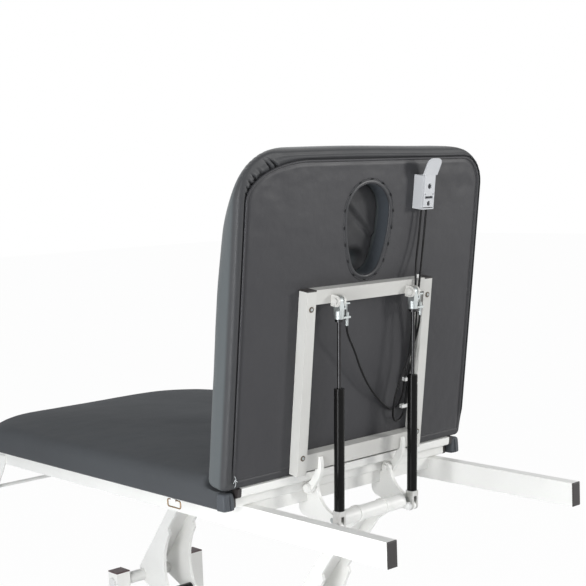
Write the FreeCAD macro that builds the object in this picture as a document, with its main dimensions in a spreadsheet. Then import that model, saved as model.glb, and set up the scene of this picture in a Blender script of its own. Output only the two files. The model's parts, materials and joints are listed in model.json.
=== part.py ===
"""Height-adjustable treatment couch with two sections and a gas-spring backrest.

Lengths are millimetres. World frame: +X to the head end, +Z up, the floor at z = 0 and the
origin under the middle of the couch. The pieces of the upper frame are drawn from the head
end of its rails, with z = 0 on top of the rails. The backrest is drawn lying flat from its
hinge, each gas spring standing up from its lower pivot, each lift arm lying along +X from its
lower pivot and the ram along +X from its base pin.
"""
import FreeCAD, Part
import math
import os
import Sketcher

SIZES = {
    # overall places
    "overall_length": 1440,
    "rail_top_height": 674,
    "overrun": 1,
    "running_fit": 0.1,
    "side_gap": 0.4,
    # lift linkage
    "lift_angle": 52.1,
    "arm_length": 378,
    "pivot_spacing": 563,
    "top_pivot_setback": 330,
    "top_pivot_drop": 56,
    "axle_radius": 6,
    "base_sleeve_radius": 15,
    "top_sleeve_radius": 16,
    "arm_plate_thickness": 8,
    "arm_plate_middle": 40,
    "arm_back_rise": 22,
    "arm_front_drop": 5,
    "arm_heel_reach": 14,
    "arm_heel_length": 8,
    "arm_neck_start": 184,
    "arm_notch_start": 177,
    "arm_notch_drop": 17,
    "arm_belly_bend": 155,
    "arm_toe_start": 54,
    "arm_toe_drop": 90,
    "arm_eye_along": 32,
    "arm_eye_drop": 98,
    "arm_eye_radius": 20,
    "arm_tip_radius": 18,
    "arm_tip_bend": 26,
    "arm_web_thickness": 4,
    "arm_web_start": 22,
    "arm_web_end": 345,
    "arm_vee_depth": 62,
    "arm_vee_half": 30,
    "arm_shin_share": 0.4,
    "arm_ankle_share": 0.25,
    # base
    "pad_radius": 22,
    "pad_height": 18,
    "pad_inset": 32,
    "base_tube": 40,
    "base_wall": 2,
    "base_beam_width": 60,
    "base_beam_length": 640,
    "base_foot_overhang": 130,
    "base_head_overhang": 190,
    "post_middle": 118,
    "post_rise": 28,
    "post_cap_height": 3,
    "axle_cap_radius": 13,
    "axle_cap_height": 5,
    "ram_lug_thickness": 8,
    "ram_lug_length": 40,
    "ram_lug_radius": 14,
    # foot pedal
    "pedal_setback": 1060,
    "pedal_length": 180,
    "pedal_bar_height": 26,
    "pedal_bar_thickness": 6,
    "pedal_pad_length": 60,
    "pedal_pad_width": 95,
    "pedal_pad_thickness": 8,
    "pedal_pin_radius": 6,
    "pedal_rise_share": 0.75,
    # ram
    "ram_pin_setback": 1236,
    "ram_pin_height": 84,
    "ram_cylinder_radius": 21,
    "ram_cylinder_length": 150,
    "ram_bore_radius": 10.1,
    "ram_bore_depth": 138,
    "ram_rod_radius": 10,
    "ram_rod_depth": 60,
    "ram_fork_radius": 14,
    "ram_eye_width": 30,
    "ram_eye_radius": 15,
    # upper frame
    "rail_inset": 65,
    "rail_width": 25,
    "rail_height": 50,
    "rail_wall": 2,
    "rail_end_margin": 55,
    "rail_cap_thickness": 3,
    "rail_plug_length": 16,
    "plug_gap": 0.2,
    "cross_tube_width": 50,
    "cross_tube_height": 25,
    "cross_tube_setback": 404,
    "foot_tube_margin": 105,
    "end_bar_inset": 33,
    "end_bar_round": 6,
    "seat_bar_face_setback": 398.5,
    "seat_bar_depth": 13.5,
    "seat_bar_height": 24,
    "bar_cap_length": 10,
    # hinge and its plates
    "hinge_setback": 385.5,
    "hinge_rise": 8,
    "hinge_plate_middle": 112,
    "hinge_plate_thickness": 8,
    "hinge_eye_radius": 12,
    "hinge_pin_radius": 5,
    "strut_pivot_ahead": 72.5,
    "strut_pivot_drop": 74,
    "plate_neck_bend": 62,
    "plate_beak_ahead": 60,
    "plate_beak_drop": 52,
    "plate_heel_drop": 50,
    "plate_heel_bend": 22,
    "plate_belly_back": 26,
    "plate_belly_drop": 68,
    "plate_keel_ahead": 44,
    "plate_keel_drop": 86,
    "plate_tip_radius": 9.5,
    "tube_weld_length": 27,
    "hinge_arm_middle": 125.7,
    "hinge_arm_thickness": 8,
    "hinge_cap_radius": 10,
    "hinge_cap_height": 9,
    "hinge_nut_radius": 7,
    "hinge_nut_height": 5,
    # lift brackets under the foot half
    "bracket_tip_radius": 14,
    # seat cushion
    "seat_end_margin": 20,
    "cushion_half": 361,
    "cushion_thickness": 66,
    "cushion_crown": 9,
    "cushion_corner": 88,
    "corner_growth": 95,
    "hinge_corner": 12,
    "soft_inset": 26,
    "relief_setback": 450,
    "relief_rise": 40,
    "relief_back_rise": 47,
    "bar_recess_gap": 3,
    "bar_recess_rise": 1.5,
    # paper roll rod and ring
    "paper_rod_radius": 4.5,
    "paper_rod_overhang": 10,
    "paper_rod_drop": 123,
    "paper_rod_margin": 12,
    "paper_bracket_thickness": 4,
    "paper_bracket_height": 32,
    "paper_hook_gap": 5.5,
    "paper_lip_rise": 13,
    "paper_throat_rise": 22,
    "paper_foot_length": 18,
    "ring_setback": 564,
    "ring_inset": 12,
    "ring_width": 44,
    "ring_height": 16,
    "ring_wire_radius": 1.5,
    "ring_corner": 5,
    "ring_drop": 3.5,
    "ring_clip_length": 14,
    "ring_clip_wall": 1.6,
    # backrest
    "raise_angle": 82.4,
    "back_length": 716,
    "back_start": 32,
    "back_plane": 1,
    "back_bar_start": 16,
    "back_bar_inner": 14,
    "back_bar_outer": 3,
    "back_bar_end": 36,
    "upright_start": 42,
    "upright_end": 432,
    "upright_width": 25,
    "upright_outer": 188,
    "upright_wall": 1.5,
    "upright_cap_height": 3,
    "upper_bar_height": 30,
    "lower_bar_start": 50,
    "lower_bar_height": 35,
    "hinge_arm_top": 76,
    "hinge_arm_lap": 4,
    "hinge_arm_elbow": 53,
    "hinge_arm_bulge": 9,
    "hinge_arm_waist": 24,
    "hinge_arm_waist_out": 27,
    "hinge_arm_outer_bend": 48,
    "hinge_arm_shin": 18.7,
    "hinge_arm_shin_out": 6.4,
    "hinge_arm_knee": 43,
    "hinge_arm_knee_out": 17.6,
    "hinge_arm_seat_out": 18,
    # gas springs
    "strut_side": 112,
    "upper_pivot_along": 408,
    "upper_pivot_out": 40,
    "strut_pin_radius": 4,
    "fork_gap": 8.8,
    "fork_cheek": 5,
    "fork_width": 20,
    "fork_top": 34,
    "fork_slot": 22,
    "fork_cap_radius": 9,
    "fork_cap_height": 7,
    "cylinder_radius": 11,
    "groove_depth": 0.8,
    "groove_width": 3,
    "groove_below": 20,
    "cylinder_top": 292,
    "cylinder_bore_depth": 200,
    "spring_rod_radius": 4,
    "spring_rod_depth": 40,
    "collar_radius": 8.5,
    "collar_height": 6,
    "collar_below": 43,
    "head_bottom_below": 37,
    "head_width": 18,
    "head_barrel_radius": 10,
    "head_thickness": 12.4,
    "head_side_gap": 0.3,
    "head_eye_radius": 9,
    "cable_side": 22,
    "adjuster_plate_thickness": 4,
    "adjuster_plate_width": 12,
    "adjuster_radius": 4.5,
    "adjuster_height": 8,
    "adjuster_bore": 2,
    "ferrule_radius": 3.5,
    "ferrule_below": 53,
    "cable_end_gap": 0.4,
    "clevis_wall": 3,
    "clevis_base": 3,
    "clevis_radius": 12,
    "bolt_head_radius": 6.5,
    "bolt_head_height": 4,
    "bolt_cap_radius": 8.5,
    "bolt_cap_height": 6,
    "head_lever_thickness": 3,
    "head_lever_below": 18,
    "head_lever_top_below": 5,
    "head_lever_step": 13,
    "head_lever_pin_radius": 1.2,
    "head_lever_width": 10,
    "head_lever_start": 6.6,
    "head_lever_barrel": 2.2,
    "head_lever_end": 27,
    "head_lever_pin_length": 22,
    # release lever
    "lever_side": 153,
    "lever_bracket_width": 38,
    "lever_bracket_below": 57,
    "lever_bracket_above": 16,
    "lever_bracket_depth": 27,
    "lever_wall": 2.5,
    "lever_pin_margin": 76,
    "lever_pin_out": 17,
    "lever_pin_radius": 3,
    "lever_sleeve_radius": 6,
    "lever_paddle_length": 39,
    "lever_paddle_tilt": 20,
    "lever_paddle_width": 44,
    "lever_paddle_above": 20,
    "lever_slot_length": 26,
    "lever_slot_height": 5,
    "lever_face_below": 52,
    "lever_face_inner": 27.5,
    "lever_face_outer": 30,
    "lever_rib": 2.5,
    "lever_rib_half": 6,
    "lever_face_half": 16,
    "lever_paddle_round": 14,
    "lever_slot_below": 31,
    "lever_upper_hole": 6,
    "lever_upper_hole_below": 7,
    "lever_lower_hole": 5.5,
    "lever_lower_hole_below": 44,
    "lever_rivet_hole": 1.6,
    "lever_rivet_side": 12,
    "lever_rivet_below": 24,
    # face hole and plug
    "hole_half": 64,
    "hole_wide_margin": 139,
    "hole_fall": 131,
    "hole_tip_radius": 47,
    "plug_clearance": 0.3,
    "plug_recess": 34,
    "plug_proud": 3,
    "plug_round": 8,
    # release cables
    "cable_radius": 2.4,
}

# share of the edge height against share of the soft inset, then of the crown
CUSHION_EDGE_SHARES = ((0, 0.24), (0.1, 0.09), (0.28, 0), (0.6, 0.01), (0.74, 0.09), (0.86, 0.25),
                       (0.95, 0.55), (1, 1))
CUSHION_CROWN_SHARES = ((0.4, 0.12), (0.75, 0.32), (1, 0.7))
DOME_SHARE = 0.6
NEARLY_NONE = 1e-3
CORNER_DRAW_SHARE = 0.5
CORNER_LEAST_SHARE = 0.4
BEND_SHARE = 0.45
QUARTER = 90

# release cables on the back of the backrest: along, across and out, in mm; the points of each
# TOP row are measured along from the lever's bracket and the others from the hinge
CABLE_TOPS = {
    "right": ((-0.4, 165, 14), (-48, 163, 15), (-93, 156, 20)),
    "left": ((-0.4, 149, 14), (-53, 146, 16), (-98, 137, 21)),
}
CABLE_PATHS = {
    "right": ((455, 147, 27), (432, 140.5, 31), (404, 139.5, 31), (380, 141, 28), (330, 149, 23),
              (290, 153, 19), (250, 153, 16), (222, 149, 14), (200, 144, 13), (172, 147, 12),
              (145, 146, 11), (124, 144, 10), (109, 131, 10), (109, 115, 11), (124, 104, 14.5),
              (141, 101, 17), (162, 100, 19), (188, 105, 21), (212, 113, 23), (240, 121, 27),
              (273, 129, 33), (300, 132, 39)),
    "left": ((455, 130, 27), (432, 127.5, 31), (404, 130, 31), (380, 134, 28), (330, 142, 20),
             (290, 145, 15), (250, 145, 12), (222, 142, 11), (200, 137, 10), (175, 139, 9),
             (159, 135, 8), (143, 128, 6), (135, 116, 5), (139, 96, 5.5), (169, 56, 11),
             (207, 14, 19), (252, -23, 27), (297, -53, 36)),
}
CABLE_LEAD = 15


class Size:
    """A length or angle: its value now and the cell formula that gives it."""

    def __init__(self, value, text):
        self.value = value
        self.text = text

    def joined(self, other, sign, value):
        other_text = other.text if isinstance(other, Size) else repr(other)
        return Size(value, "(" + self.text + sign + other_text + ")")

    def __add__(self, other):
        return self.joined(other, " + ", self.value + number(other))

    def __sub__(self, other):
        return self.joined(other, " - ", self.value - number(other))

    def __mul__(self, other):
        return self.joined(other, " * ", self.value * number(other))

    def __truediv__(self, other):
        return self.joined(other, " / ", self.value / number(other))

    def __neg__(self):
        return Size(-self.value, "(-1 * " + self.text + ")")


class SizeTable:
    """Gives each named size as an attribute."""

    def __getattr__(self, name):
        return Size(SIZES[name], "Sizes." + name)


def number(size):
    return size.value if isinstance(size, Size) else size


S = SizeTable()
ZERO = S.overrun * 0
X_AXIS = FreeCAD.Vector(1, 0, 0)
Y_AXIS = FreeCAD.Vector(0, 1, 0)
SIDES = (("left", -1), ("right", 1))
doc = FreeCAD.newDocument("TreatmentCouch")
nodes = []


def write_sheet():
    sheet = doc.addObject("Spreadsheet::Sheet", "Sizes")
    for row, (alias, value) in enumerate(SIZES.items(), 1):
        sheet.set("A" + str(row), alias)
        sheet.set("B" + str(row), str(value))
        sheet.setAlias("B" + str(row), alias)
    doc.recompute()


# Building blocks

def bind(item, **sizes):
    for name, size in sizes.items():
        item.setExpression(name, size.text)


def shift(item, x=ZERO, y=ZERO, z=ZERO):
    for axis, size in zip("xyz", (x, y, z)):
        item.setExpression("Placement.Base." + axis, size.text)
    return item


def box(name, low, size):
    block = doc.addObject("Part::Box", name)
    bind(block, Length=size[0], Width=size[1], Height=size[2])
    return shift(block, *low)


def cylinder(name, radius, length, start, axis="z"):
    bar = doc.addObject("Part::Cylinder", name)
    bind(bar, Radius=radius, Height=length)
    if axis == "x":
        bar.Placement = FreeCAD.Placement(FreeCAD.Vector(), FreeCAD.Rotation(Y_AXIS, 90))
    if axis == "y":
        bar.Placement = FreeCAD.Placement(FreeCAD.Vector(), FreeCAD.Rotation(X_AXIS, -90))
    return shift(bar, *start)


def dome(name, radius, height, start, direction):
    """A pin cap along Y: a short cylinder with a rounded outer edge."""
    low = start if direction > 0 else (start[0], start[1] - height, start[2])
    drum = cylinder(name + "_drum", radius, height, low, "y")
    doc.recompute()
    cap = doc.addObject("Part::Fillet", name)
    cap.Base = drum
    far = number(start[1] + height * direction)
    for index, edge in enumerate(drum.Shape.Edges, 1):
        middle = edge.BoundBox.Center.y
        if edge.BoundBox.YLength < NEARLY_NONE and abs(middle - far) < NEARLY_NONE:
            cap.Edges = [(index, number(height) * DOME_SHARE, number(height) * DOME_SHARE)]
    return cap


def fuse(name, pieces):
    whole = doc.addObject("Part::MultiFuse", name)
    whole.Shapes = pieces
    whole.Refine = True
    return whole


def cut(name, base, *tools):
    result = doc.addObject("Part::Cut", name)
    result.Base = base
    result.Tool = tools[0] if len(tools) == 1 else fuse(name + "_tools", list(tools))
    result.Refine = True
    return result


def round_edges(name, base, radius, chosen):
    """Rounds the edges of base whose middle point passes the test."""
    doc.recompute()
    rounded = doc.addObject("Part::Fillet", name)
    rounded.Base = base
    edges = []
    for index, edge in enumerate(base.Shape.Edges, 1):
        if chosen(edge):
            edges.append((index, number(radius), number(radius)))
    rounded.Edges = edges
    return rounded


def arc_points(start, end, radius, turn):
    """Centre side and middle point of the shorter arc; turn is 1 counter-clockwise."""
    chord = end - start
    half = chord.Length / 2
    normal = FreeCAD.Vector(-chord.y, chord.x, 0)
    normal.normalize()
    rise = math.sqrt(max(radius * radius - half * half, 0))
    centre = (start + end) / 2 + normal * rise * turn
    return centre - normal * radius * turn


def add_outline(sketch, outline):
    """Draws a closed outline of (x, y) corners; an arc corner is (x, y, radius, turn)."""
    corners = []
    for corner in outline:
        corners.append(FreeCAD.Vector(number(corner[0]), number(corner[1]), 0))
    count = len(outline)
    edges = []
    for index in range(count):
        start = corners[index - 1]
        end = corners[index]
        if len(outline[index]) == 2:
            edges.append(sketch.addGeometry(Part.LineSegment(start, end), False))
            continue
        middle = arc_points(start, end, number(outline[index][2]), outline[index][3])
        edges.append(sketch.addGeometry(Part.Arc(start, middle, end), False))
    for index in range(count):
        edge = edges[index]
        following = edges[(index + 1) % count]
        corner = corners[index]
        last = end_of(sketch, edge, corner)
        first = end_of(sketch, following, corner)
        sketch.addConstraint(Sketcher.Constraint("Coincident", edge, last, following, first))
        tie_point(sketch, edge, last, outline[index])
        if len(outline[index]) > 2:
            tie(sketch, Sketcher.Constraint("Radius", edge, number(outline[index][2])),
                outline[index][2])


def end_of(sketch, edge, corner):
    gap = (sketch.getPoint(edge, 1) - corner).Length
    other_gap = (sketch.getPoint(edge, 2) - corner).Length
    return 1 if gap < other_gap else 2


def tie(sketch, constraint, size):
    index = sketch.addConstraint(constraint)
    sketch.setExpression("Constraints[" + str(index) + "]", size.text)


def tie_point(sketch, edge, end, place):
    for kind, size in (("DistanceX", place[0]), ("DistanceY", place[1])):
        tie(sketch, Sketcher.Constraint(kind, -1, 1, edge, end, number(size)), size)


def add_circle(sketch, place, radius):
    centre = FreeCAD.Vector(number(place[0]), number(place[1]), 0)
    shape = Part.Circle(centre, FreeCAD.Vector(0, 0, 1), number(radius))
    edge = sketch.addGeometry(shape, False)
    tie_point(sketch, edge, 3, place)
    tie(sketch, Sketcher.Constraint("Radius", edge, number(radius)), radius)


def plate(name, plane, outline, thickness, holes=()):
    """A flat piece centred on a plane of its own body: "XZ", "YZ" or "XY"."""
    body = doc.addObject("PartDesign::Body", name)
    sketch = body.newObject("Sketcher::SketchObject", name + "_outline")
    for feature in body.Origin.OriginFeatures:
        if feature.Role == plane + "_Plane":
            sketch.AttachmentSupport = [(feature, "")]
    sketch.MapMode = "FlatFace"
    add_outline(sketch, outline)
    for place, radius in holes:
        add_circle(sketch, place, radius)
    pad = body.newObject("PartDesign::Pad", name + "_pad")
    pad.Profile = sketch
    pad.SideType = "Symmetric"
    bind(pad, Length=thickness)
    return body


def node(label, item, frame, x=ZERO, y=ZERO, z=ZERO):
    """Names a finished sub-part and puts it into its frame."""
    if item.ExpressionEngine and item.TypeId != "Part::MultiFuse":
        item = wrap(label + "_group", item)
    local = FreeCAD.Placement(FreeCAD.Vector(number(x), number(y), number(z)), FreeCAD.Rotation())
    item.Placement = frame.multiply(local)
    item.Label = label
    if item.Label != label:
        raise ValueError("another object is already called " + label)
    nodes.append(item)
    return item


def wrap(name, item):
    """Lets a piece that has its own local place be moved as a whole."""
    group = doc.addObject("Part::Compound", name)
    group.Links = [item]
    return group


def frame_at(x, z, tilt=0):
    """A frame whose +X is raised by the tilt in degrees."""
    return FreeCAD.Placement(FreeCAD.Vector(x, 0, z), FreeCAD.Rotation(Y_AXIS, -tilt))


def hollow(name, low, size, wall, axis):
    """A rectangular tube that is open at both ends along the axis."""
    outer = box(name + "_outer", low, size)
    inner_low = []
    inner_size = []
    for index in range(3):
        if "xyz"[index] == axis:
            inner_low.append(low[index] - S.overrun)
            inner_size.append(size[index] + S.overrun * 2)
        else:
            inner_low.append(low[index] + wall)
            inner_size.append(size[index] - wall * 2)
    return cut(name, outer, box(name + "_inner", inner_low, inner_size))


# Places that follow from the sizes

half_length = S.overall_length / 2
lift_radians = math.radians(number(S.lift_angle))
arm_reach = number(S.arm_length) * math.cos(lift_radians)
arm_rise = number(S.arm_length) * math.sin(lift_radians)
pivot_height = number(S.rail_top_height - S.top_pivot_drop) - arm_rise
head_pivot_x = number(half_length - S.top_pivot_setback) - arm_reach
foot_pivot_x = head_pivot_x - number(S.pivot_spacing)
hinge_x = number(half_length - S.hinge_setback)
hinge_z = number(S.rail_top_height + S.hinge_rise)
raise_radians = math.radians(number(S.raise_angle))
strut_x = hinge_x + number(S.strut_pivot_ahead)
strut_z = hinge_z - number(S.strut_pivot_drop)
upper_pivot_x = (hinge_x + number(S.upper_pivot_along) * math.cos(raise_radians)
                 + number(S.upper_pivot_out) * math.sin(raise_radians))
upper_pivot_z = (hinge_z + number(S.upper_pivot_along) * math.sin(raise_radians)
                 - number(S.upper_pivot_out) * math.cos(raise_radians))
strut_length = math.hypot(upper_pivot_x - strut_x, upper_pivot_z - strut_z)
strut_tilt = math.degrees(math.atan2(upper_pivot_x - strut_x, upper_pivot_z - strut_z))
arm_eye_reach = math.hypot(number(S.arm_eye_along), number(S.arm_eye_drop))
arm_eye_angle = lift_radians - math.atan2(number(S.arm_eye_drop), number(S.arm_eye_along))
arm_eye_x = foot_pivot_x + arm_eye_reach * math.cos(arm_eye_angle)
arm_eye_z = pivot_height + arm_eye_reach * math.sin(arm_eye_angle)
ram_x = number(half_length - S.ram_pin_setback)
ram_z = number(S.ram_pin_height)
ram_length = math.hypot(arm_eye_x - ram_x, arm_eye_z - ram_z)
ram_tilt = math.degrees(math.atan2(arm_eye_z - ram_z, arm_eye_x - ram_x))

WORLD = frame_at(0, 0)
UPPER = frame_at(number(half_length), number(S.rail_top_height))
BACK = frame_at(hinge_x, hinge_z, number(S.raise_angle))
STRUT = frame_at(strut_x, strut_z, -strut_tilt)
HEAD_ARM = frame_at(head_pivot_x, pivot_height, number(S.lift_angle))
FOOT_ARM = frame_at(foot_pivot_x, pivot_height, number(S.lift_angle))
RAM = frame_at(ram_x, ram_z, ram_tilt)


def derive(alias, value):
    """Adds a worked-out size to the sheet, so that pieces can be bound to it."""
    sheet = doc.getObject("Sizes")
    row = len(SIZES) + 1
    SIZES[alias] = value
    sheet.set("A" + str(row), alias)
    sheet.set("B" + str(row), repr(value))
    sheet.setAlias("B" + str(row), alias)
    return Size(value, "Sizes." + alias)


def outline_tip(centre, radius):
    """Three quarter-turn corners round a tip that points down, drawn clockwise."""
    x, z = centre
    return [(x + radius, z), (x, z - radius, radius, -1), (x - radius, z, radius, -1)]


# Base: tubes, posts, axles and pads

def make_base():
    head_pivot = derive("head_pivot_place", head_pivot_x)
    foot_pivot = derive("foot_pivot_place", foot_pivot_x)
    pivot_rise = derive("base_pivot_height", pivot_height)
    foot_beam = foot_pivot - S.base_foot_overhang
    head_beam = head_pivot + S.base_head_overhang
    half_beam = S.base_beam_width / 2
    half_tube = S.base_tube / 2
    floor_gap = S.pad_height
    tube_start = foot_beam + half_beam
    tube_length = head_beam - half_beam - tube_start
    for side, sign in SIDES:
        low_y = S.post_middle * sign - half_tube
        tube = hollow("side_" + side, (tube_start, low_y, floor_gap),
                      (tube_length, S.base_tube, S.base_tube), S.base_wall, "x")
        if side == "left":
            outer_y = -(S.post_middle + half_tube)
            pin = cylinder("pedal_pin", S.pedal_pin_radius,
                           S.pedal_bar_thickness + S.side_gap * 3,
                           (half_length - S.pedal_setback,
                            outer_y - S.pedal_bar_thickness - S.side_gap * 3,
                            pedal_height()), "y")
            tube = fuse("side_left_with_pin", [tube, pin])
        node("side_tube_" + side, tube, WORLD)
    for end, beam in (("head", head_beam), ("foot", foot_beam)):
        body = hollow("beam_" + end, (beam - half_beam, -(S.base_beam_length / 2), floor_gap),
                      (S.base_beam_width, S.base_beam_length, S.base_tube), S.base_wall, "y")
        if end == "foot":
            body = fuse("beam_foot_with_lugs", [body] + ram_lugs())
        node("base_beam_" + end, body, WORLD)
        for side, sign in SIDES:
            reach = (S.base_beam_length / 2 - S.pad_inset) * sign
            pad = cylinder("pad_" + end + side, S.pad_radius, S.pad_height, (ZERO, ZERO, ZERO))
            node("foot_pad_" + end + "_" + side, wrap("pad_group_" + end + side, pad),
                 WORLD, beam, reach)
    for end, pivot in (("head", head_pivot), ("foot", foot_pivot)):
        for side, sign in SIDES:
            node("post_" + end + "_" + side, make_post(end + side, pivot, sign, pivot_rise), WORLD)
        node("base_axle_" + end, make_axle("base_axle_" + end, pivot, pivot_rise), WORLD)


def pedal_height():
    return S.pad_height + S.base_tube * S.pedal_rise_share


def make_post(name, pivot, sign, pivot_rise):
    half_tube = S.base_tube / 2
    bottom = S.pad_height + S.base_tube
    height = pivot_rise + S.post_rise - S.post_cap_height - bottom
    low = (pivot - half_tube, S.post_middle * sign - half_tube, bottom)
    tube = hollow("post_tube_" + name, low, (S.base_tube, S.base_tube, height), S.base_wall, "z")
    cap = box("post_cap_" + name, (low[0], low[1], bottom + height),
              (S.base_tube, S.base_tube, S.post_cap_height))
    top = number(bottom + height + S.post_cap_height)
    cap = round_edges("post_cap_soft_" + name, cap, S.post_cap_height / 2,
                      lambda edge: edge.BoundBox.ZMin > top - number(S.overrun))
    hole = cylinder("post_hole_" + name, S.axle_radius, S.base_tube + S.overrun * 2,
                    (pivot, low[1] - S.overrun, pivot_rise), "y")
    return cut("post_" + name, fuse("post_whole_" + name, [tube, cap]), hole)


def make_axle(name, pivot, pivot_rise):
    reach = S.post_middle + S.base_tube / 2
    shaft = cylinder(name + "_shaft", S.axle_radius, reach * 2, (pivot, -reach, pivot_rise), "y")
    caps = []
    for side, sign in SIDES:
        caps.append(dome(name + "_cap_" + side, S.axle_cap_radius, S.axle_cap_height,
                         (pivot, reach * sign, pivot_rise), sign))
    return fuse(name + "_whole", [shaft] + caps)


def ram_lugs():
    """Two ears with a pin between them on top of the foot beam."""
    pin_x = half_length - S.ram_pin_setback
    half = S.ram_lug_length / 2
    rise = S.ram_pin_height - S.pad_height - S.base_tube
    radius = S.ram_lug_radius
    inner = S.ram_eye_width / 2 + S.side_gap
    outline = [(-half, -rise), (-radius, ZERO), (ZERO, radius, radius, -1),
               (radius, ZERO, radius, -1), (half, -rise)]
    pieces = []
    for side, sign in SIDES:
        ear = plate("ram_ear_" + side, "XZ", outline, S.ram_lug_thickness)
        middle = (inner + S.ram_lug_thickness / 2) * sign
        pieces.append(shift(ear, pin_x, middle, S.ram_pin_height))
    reach = inner + S.ram_lug_thickness + S.axle_cap_height
    pieces.append(cylinder("ram_pin", S.axle_radius, reach * 2,
                           (pin_x, -reach, S.ram_pin_height), "y"))
    return pieces


def make_pedal():
    gap = S.post_middle + S.base_tube / 2 + S.side_gap
    bar = plate("pedal_bar", "XZ",
                [(-(S.pedal_bar_height / 2), -(S.pedal_bar_height / 2)),
                 (-(S.pedal_bar_height / 2), S.pedal_bar_height / 2),
                 (S.pedal_length, S.pedal_bar_height / 2),
                 (S.pedal_length, -(S.pedal_bar_height / 4))],
                S.pedal_bar_thickness, [((ZERO, ZERO), S.pedal_pin_radius + S.running_fit)])
    shift(bar, ZERO, -(gap + S.pedal_bar_thickness / 2), ZERO)
    pad = box("pedal_pad", (S.pedal_length - S.pedal_pad_length, -(gap + S.pedal_pad_width),
                            S.pedal_bar_height / 2),
              (S.pedal_pad_length, S.pedal_pad_width, S.pedal_pad_thickness))
    pad = round_edges("pedal_pad_soft", pad, S.pedal_pad_thickness,
                      lambda edge: edge.BoundBox.ZLength > number(S.pedal_pad_thickness) / 2)
    node("pedal", fuse("pedal_whole", [bar, pad]),
         frame_at(number(half_length - S.pedal_setback), number(pedal_height())))


# Lift arms and ram

def arm_outline():
    along = S.arm_length
    eye = (S.arm_eye_along, -S.arm_eye_drop)
    return ([(-S.arm_heel_reach, ZERO), (S.arm_heel_length, S.arm_back_rise),
             (along - S.arm_tip_radius, S.arm_back_rise),
             (along + S.arm_tip_radius, ZERO, S.arm_tip_bend + S.overrun * 3, -1),
             (along, -S.arm_tip_radius, S.arm_tip_radius, -1),
             (along - S.arm_tip_radius * 2, -S.arm_front_drop),
             (S.arm_neck_start, -S.arm_front_drop),
             (S.arm_notch_start, -S.arm_notch_drop),
             (S.arm_toe_start, -S.arm_toe_drop, S.arm_belly_bend, 1)]
            + outline_tip(eye, S.arm_eye_radius)[0:3]
            + [(-(S.arm_heel_reach * S.arm_ankle_share),
                -(S.arm_eye_drop * S.arm_shin_share))])


def make_arm(name, frame):
    pieces = []
    for side, sign in SIDES:
        cheek = plate(name + "_cheek_" + side, "XZ", arm_outline(), S.arm_plate_thickness,
                      [((S.arm_eye_along, -S.arm_eye_drop), S.axle_radius)])
        pieces.append(shift(cheek, ZERO, S.arm_plate_middle * sign, ZERO))
        outer = S.arm_plate_middle + S.arm_plate_thickness / 2
        stub = dome(name + "_stub_" + side, S.axle_cap_radius, S.axle_cap_height,
                    (S.arm_eye_along, outer * sign, -S.arm_eye_drop), sign)
        pieces.append(stub)
    inner = S.arm_plate_middle - S.arm_plate_thickness / 2
    web = box(name + "_web", (S.arm_web_start, -inner, S.arm_back_rise - S.arm_web_thickness),
              (S.arm_web_end - S.arm_web_start, inner * 2, S.arm_web_thickness))
    vee = plate(name + "_vee", "XY",
                [(S.arm_web_start - S.overrun, -S.arm_vee_half),
                 (S.arm_web_start + S.arm_vee_depth, ZERO),
                 (S.arm_web_start - S.overrun, S.arm_vee_half)], S.arm_web_thickness * 3)
    shift(vee, ZERO, ZERO, S.arm_back_rise - S.arm_web_thickness / 2)
    pieces.append(cut(name + "_web_cut", web, vee))
    base_half = S.post_middle - S.base_tube / 2 - S.side_gap
    top_half = (S.strut_side - S.fork_gap / 2 - S.fork_cheek - S.fork_cap_height - S.side_gap)
    bores = []
    for end, along, radius, half in (("base", ZERO, S.base_sleeve_radius, base_half),
                                     ("top", S.arm_length, S.top_sleeve_radius, top_half)):
        pieces.append(cylinder(name + "_sleeve_" + end, radius, half * 2,
                               (along, -half, ZERO), "y"))
        bores.append(cylinder(name + "_bore_" + end, S.axle_radius + S.running_fit,
                              half * 2 + S.overrun * 2, (along, -half - S.overrun, ZERO), "y"))
    node("lift_arm_" + name, cut(name + "_arm", fuse(name + "_arm_whole", pieces), *bores), frame)


def make_ram():
    length = derive("ram_reach", ram_length)
    half = S.ram_eye_width / 2
    start = S.ram_eye_radius + S.side_gap
    end = start + S.ram_cylinder_length
    eye = cylinder("ram_eye", S.ram_eye_radius, S.ram_eye_width, (ZERO, -half, ZERO), "y")
    barrel = cylinder("ram_barrel", S.ram_cylinder_radius, S.ram_cylinder_length,
                      (start, ZERO, ZERO), "x")
    neck = cylinder("ram_neck", S.ram_eye_radius, start, (ZERO, ZERO, ZERO), "x")
    pin_bore = cylinder("ram_pin_bore", S.axle_radius + S.running_fit,
                        S.ram_eye_width + S.overrun * 2, (ZERO, -half - S.overrun, ZERO), "y")
    rod_bore = cylinder("ram_rod_bore", S.ram_bore_radius, S.ram_bore_depth + S.overrun,
                        (end - S.ram_bore_depth, ZERO, ZERO), "x")
    node("ram_cylinder", cut("ram_cylinder_cut", fuse("ram_cylinder_whole", [eye, barrel, neck]),
                             pin_bore, rod_bore), RAM)
    rod_start = end - S.ram_rod_depth
    half_gap = S.arm_plate_middle - S.arm_plate_thickness / 2 - S.side_gap
    rod = cylinder("ram_rod_bar", S.ram_rod_radius, length - rod_start, (rod_start, ZERO, ZERO), "x")
    head = cylinder("ram_rod_eye", S.ram_fork_radius, half_gap * 2, (length, -half_gap, ZERO), "y")
    bore = cylinder("ram_eye_bore", S.axle_radius + S.running_fit, half_gap * 2 + S.overrun * 2,
                    (length, -half_gap - S.overrun, ZERO), "y")
    node("ram_rod", cut("ram_rod_cut", fuse("ram_rod_whole", [rod, head]), bore), RAM)


# Upper frame

def rail_outer():
    return S.cushion_half - S.rail_inset


def paper_rod_half():
    return rail_outer() + S.paper_rod_overhang


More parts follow.
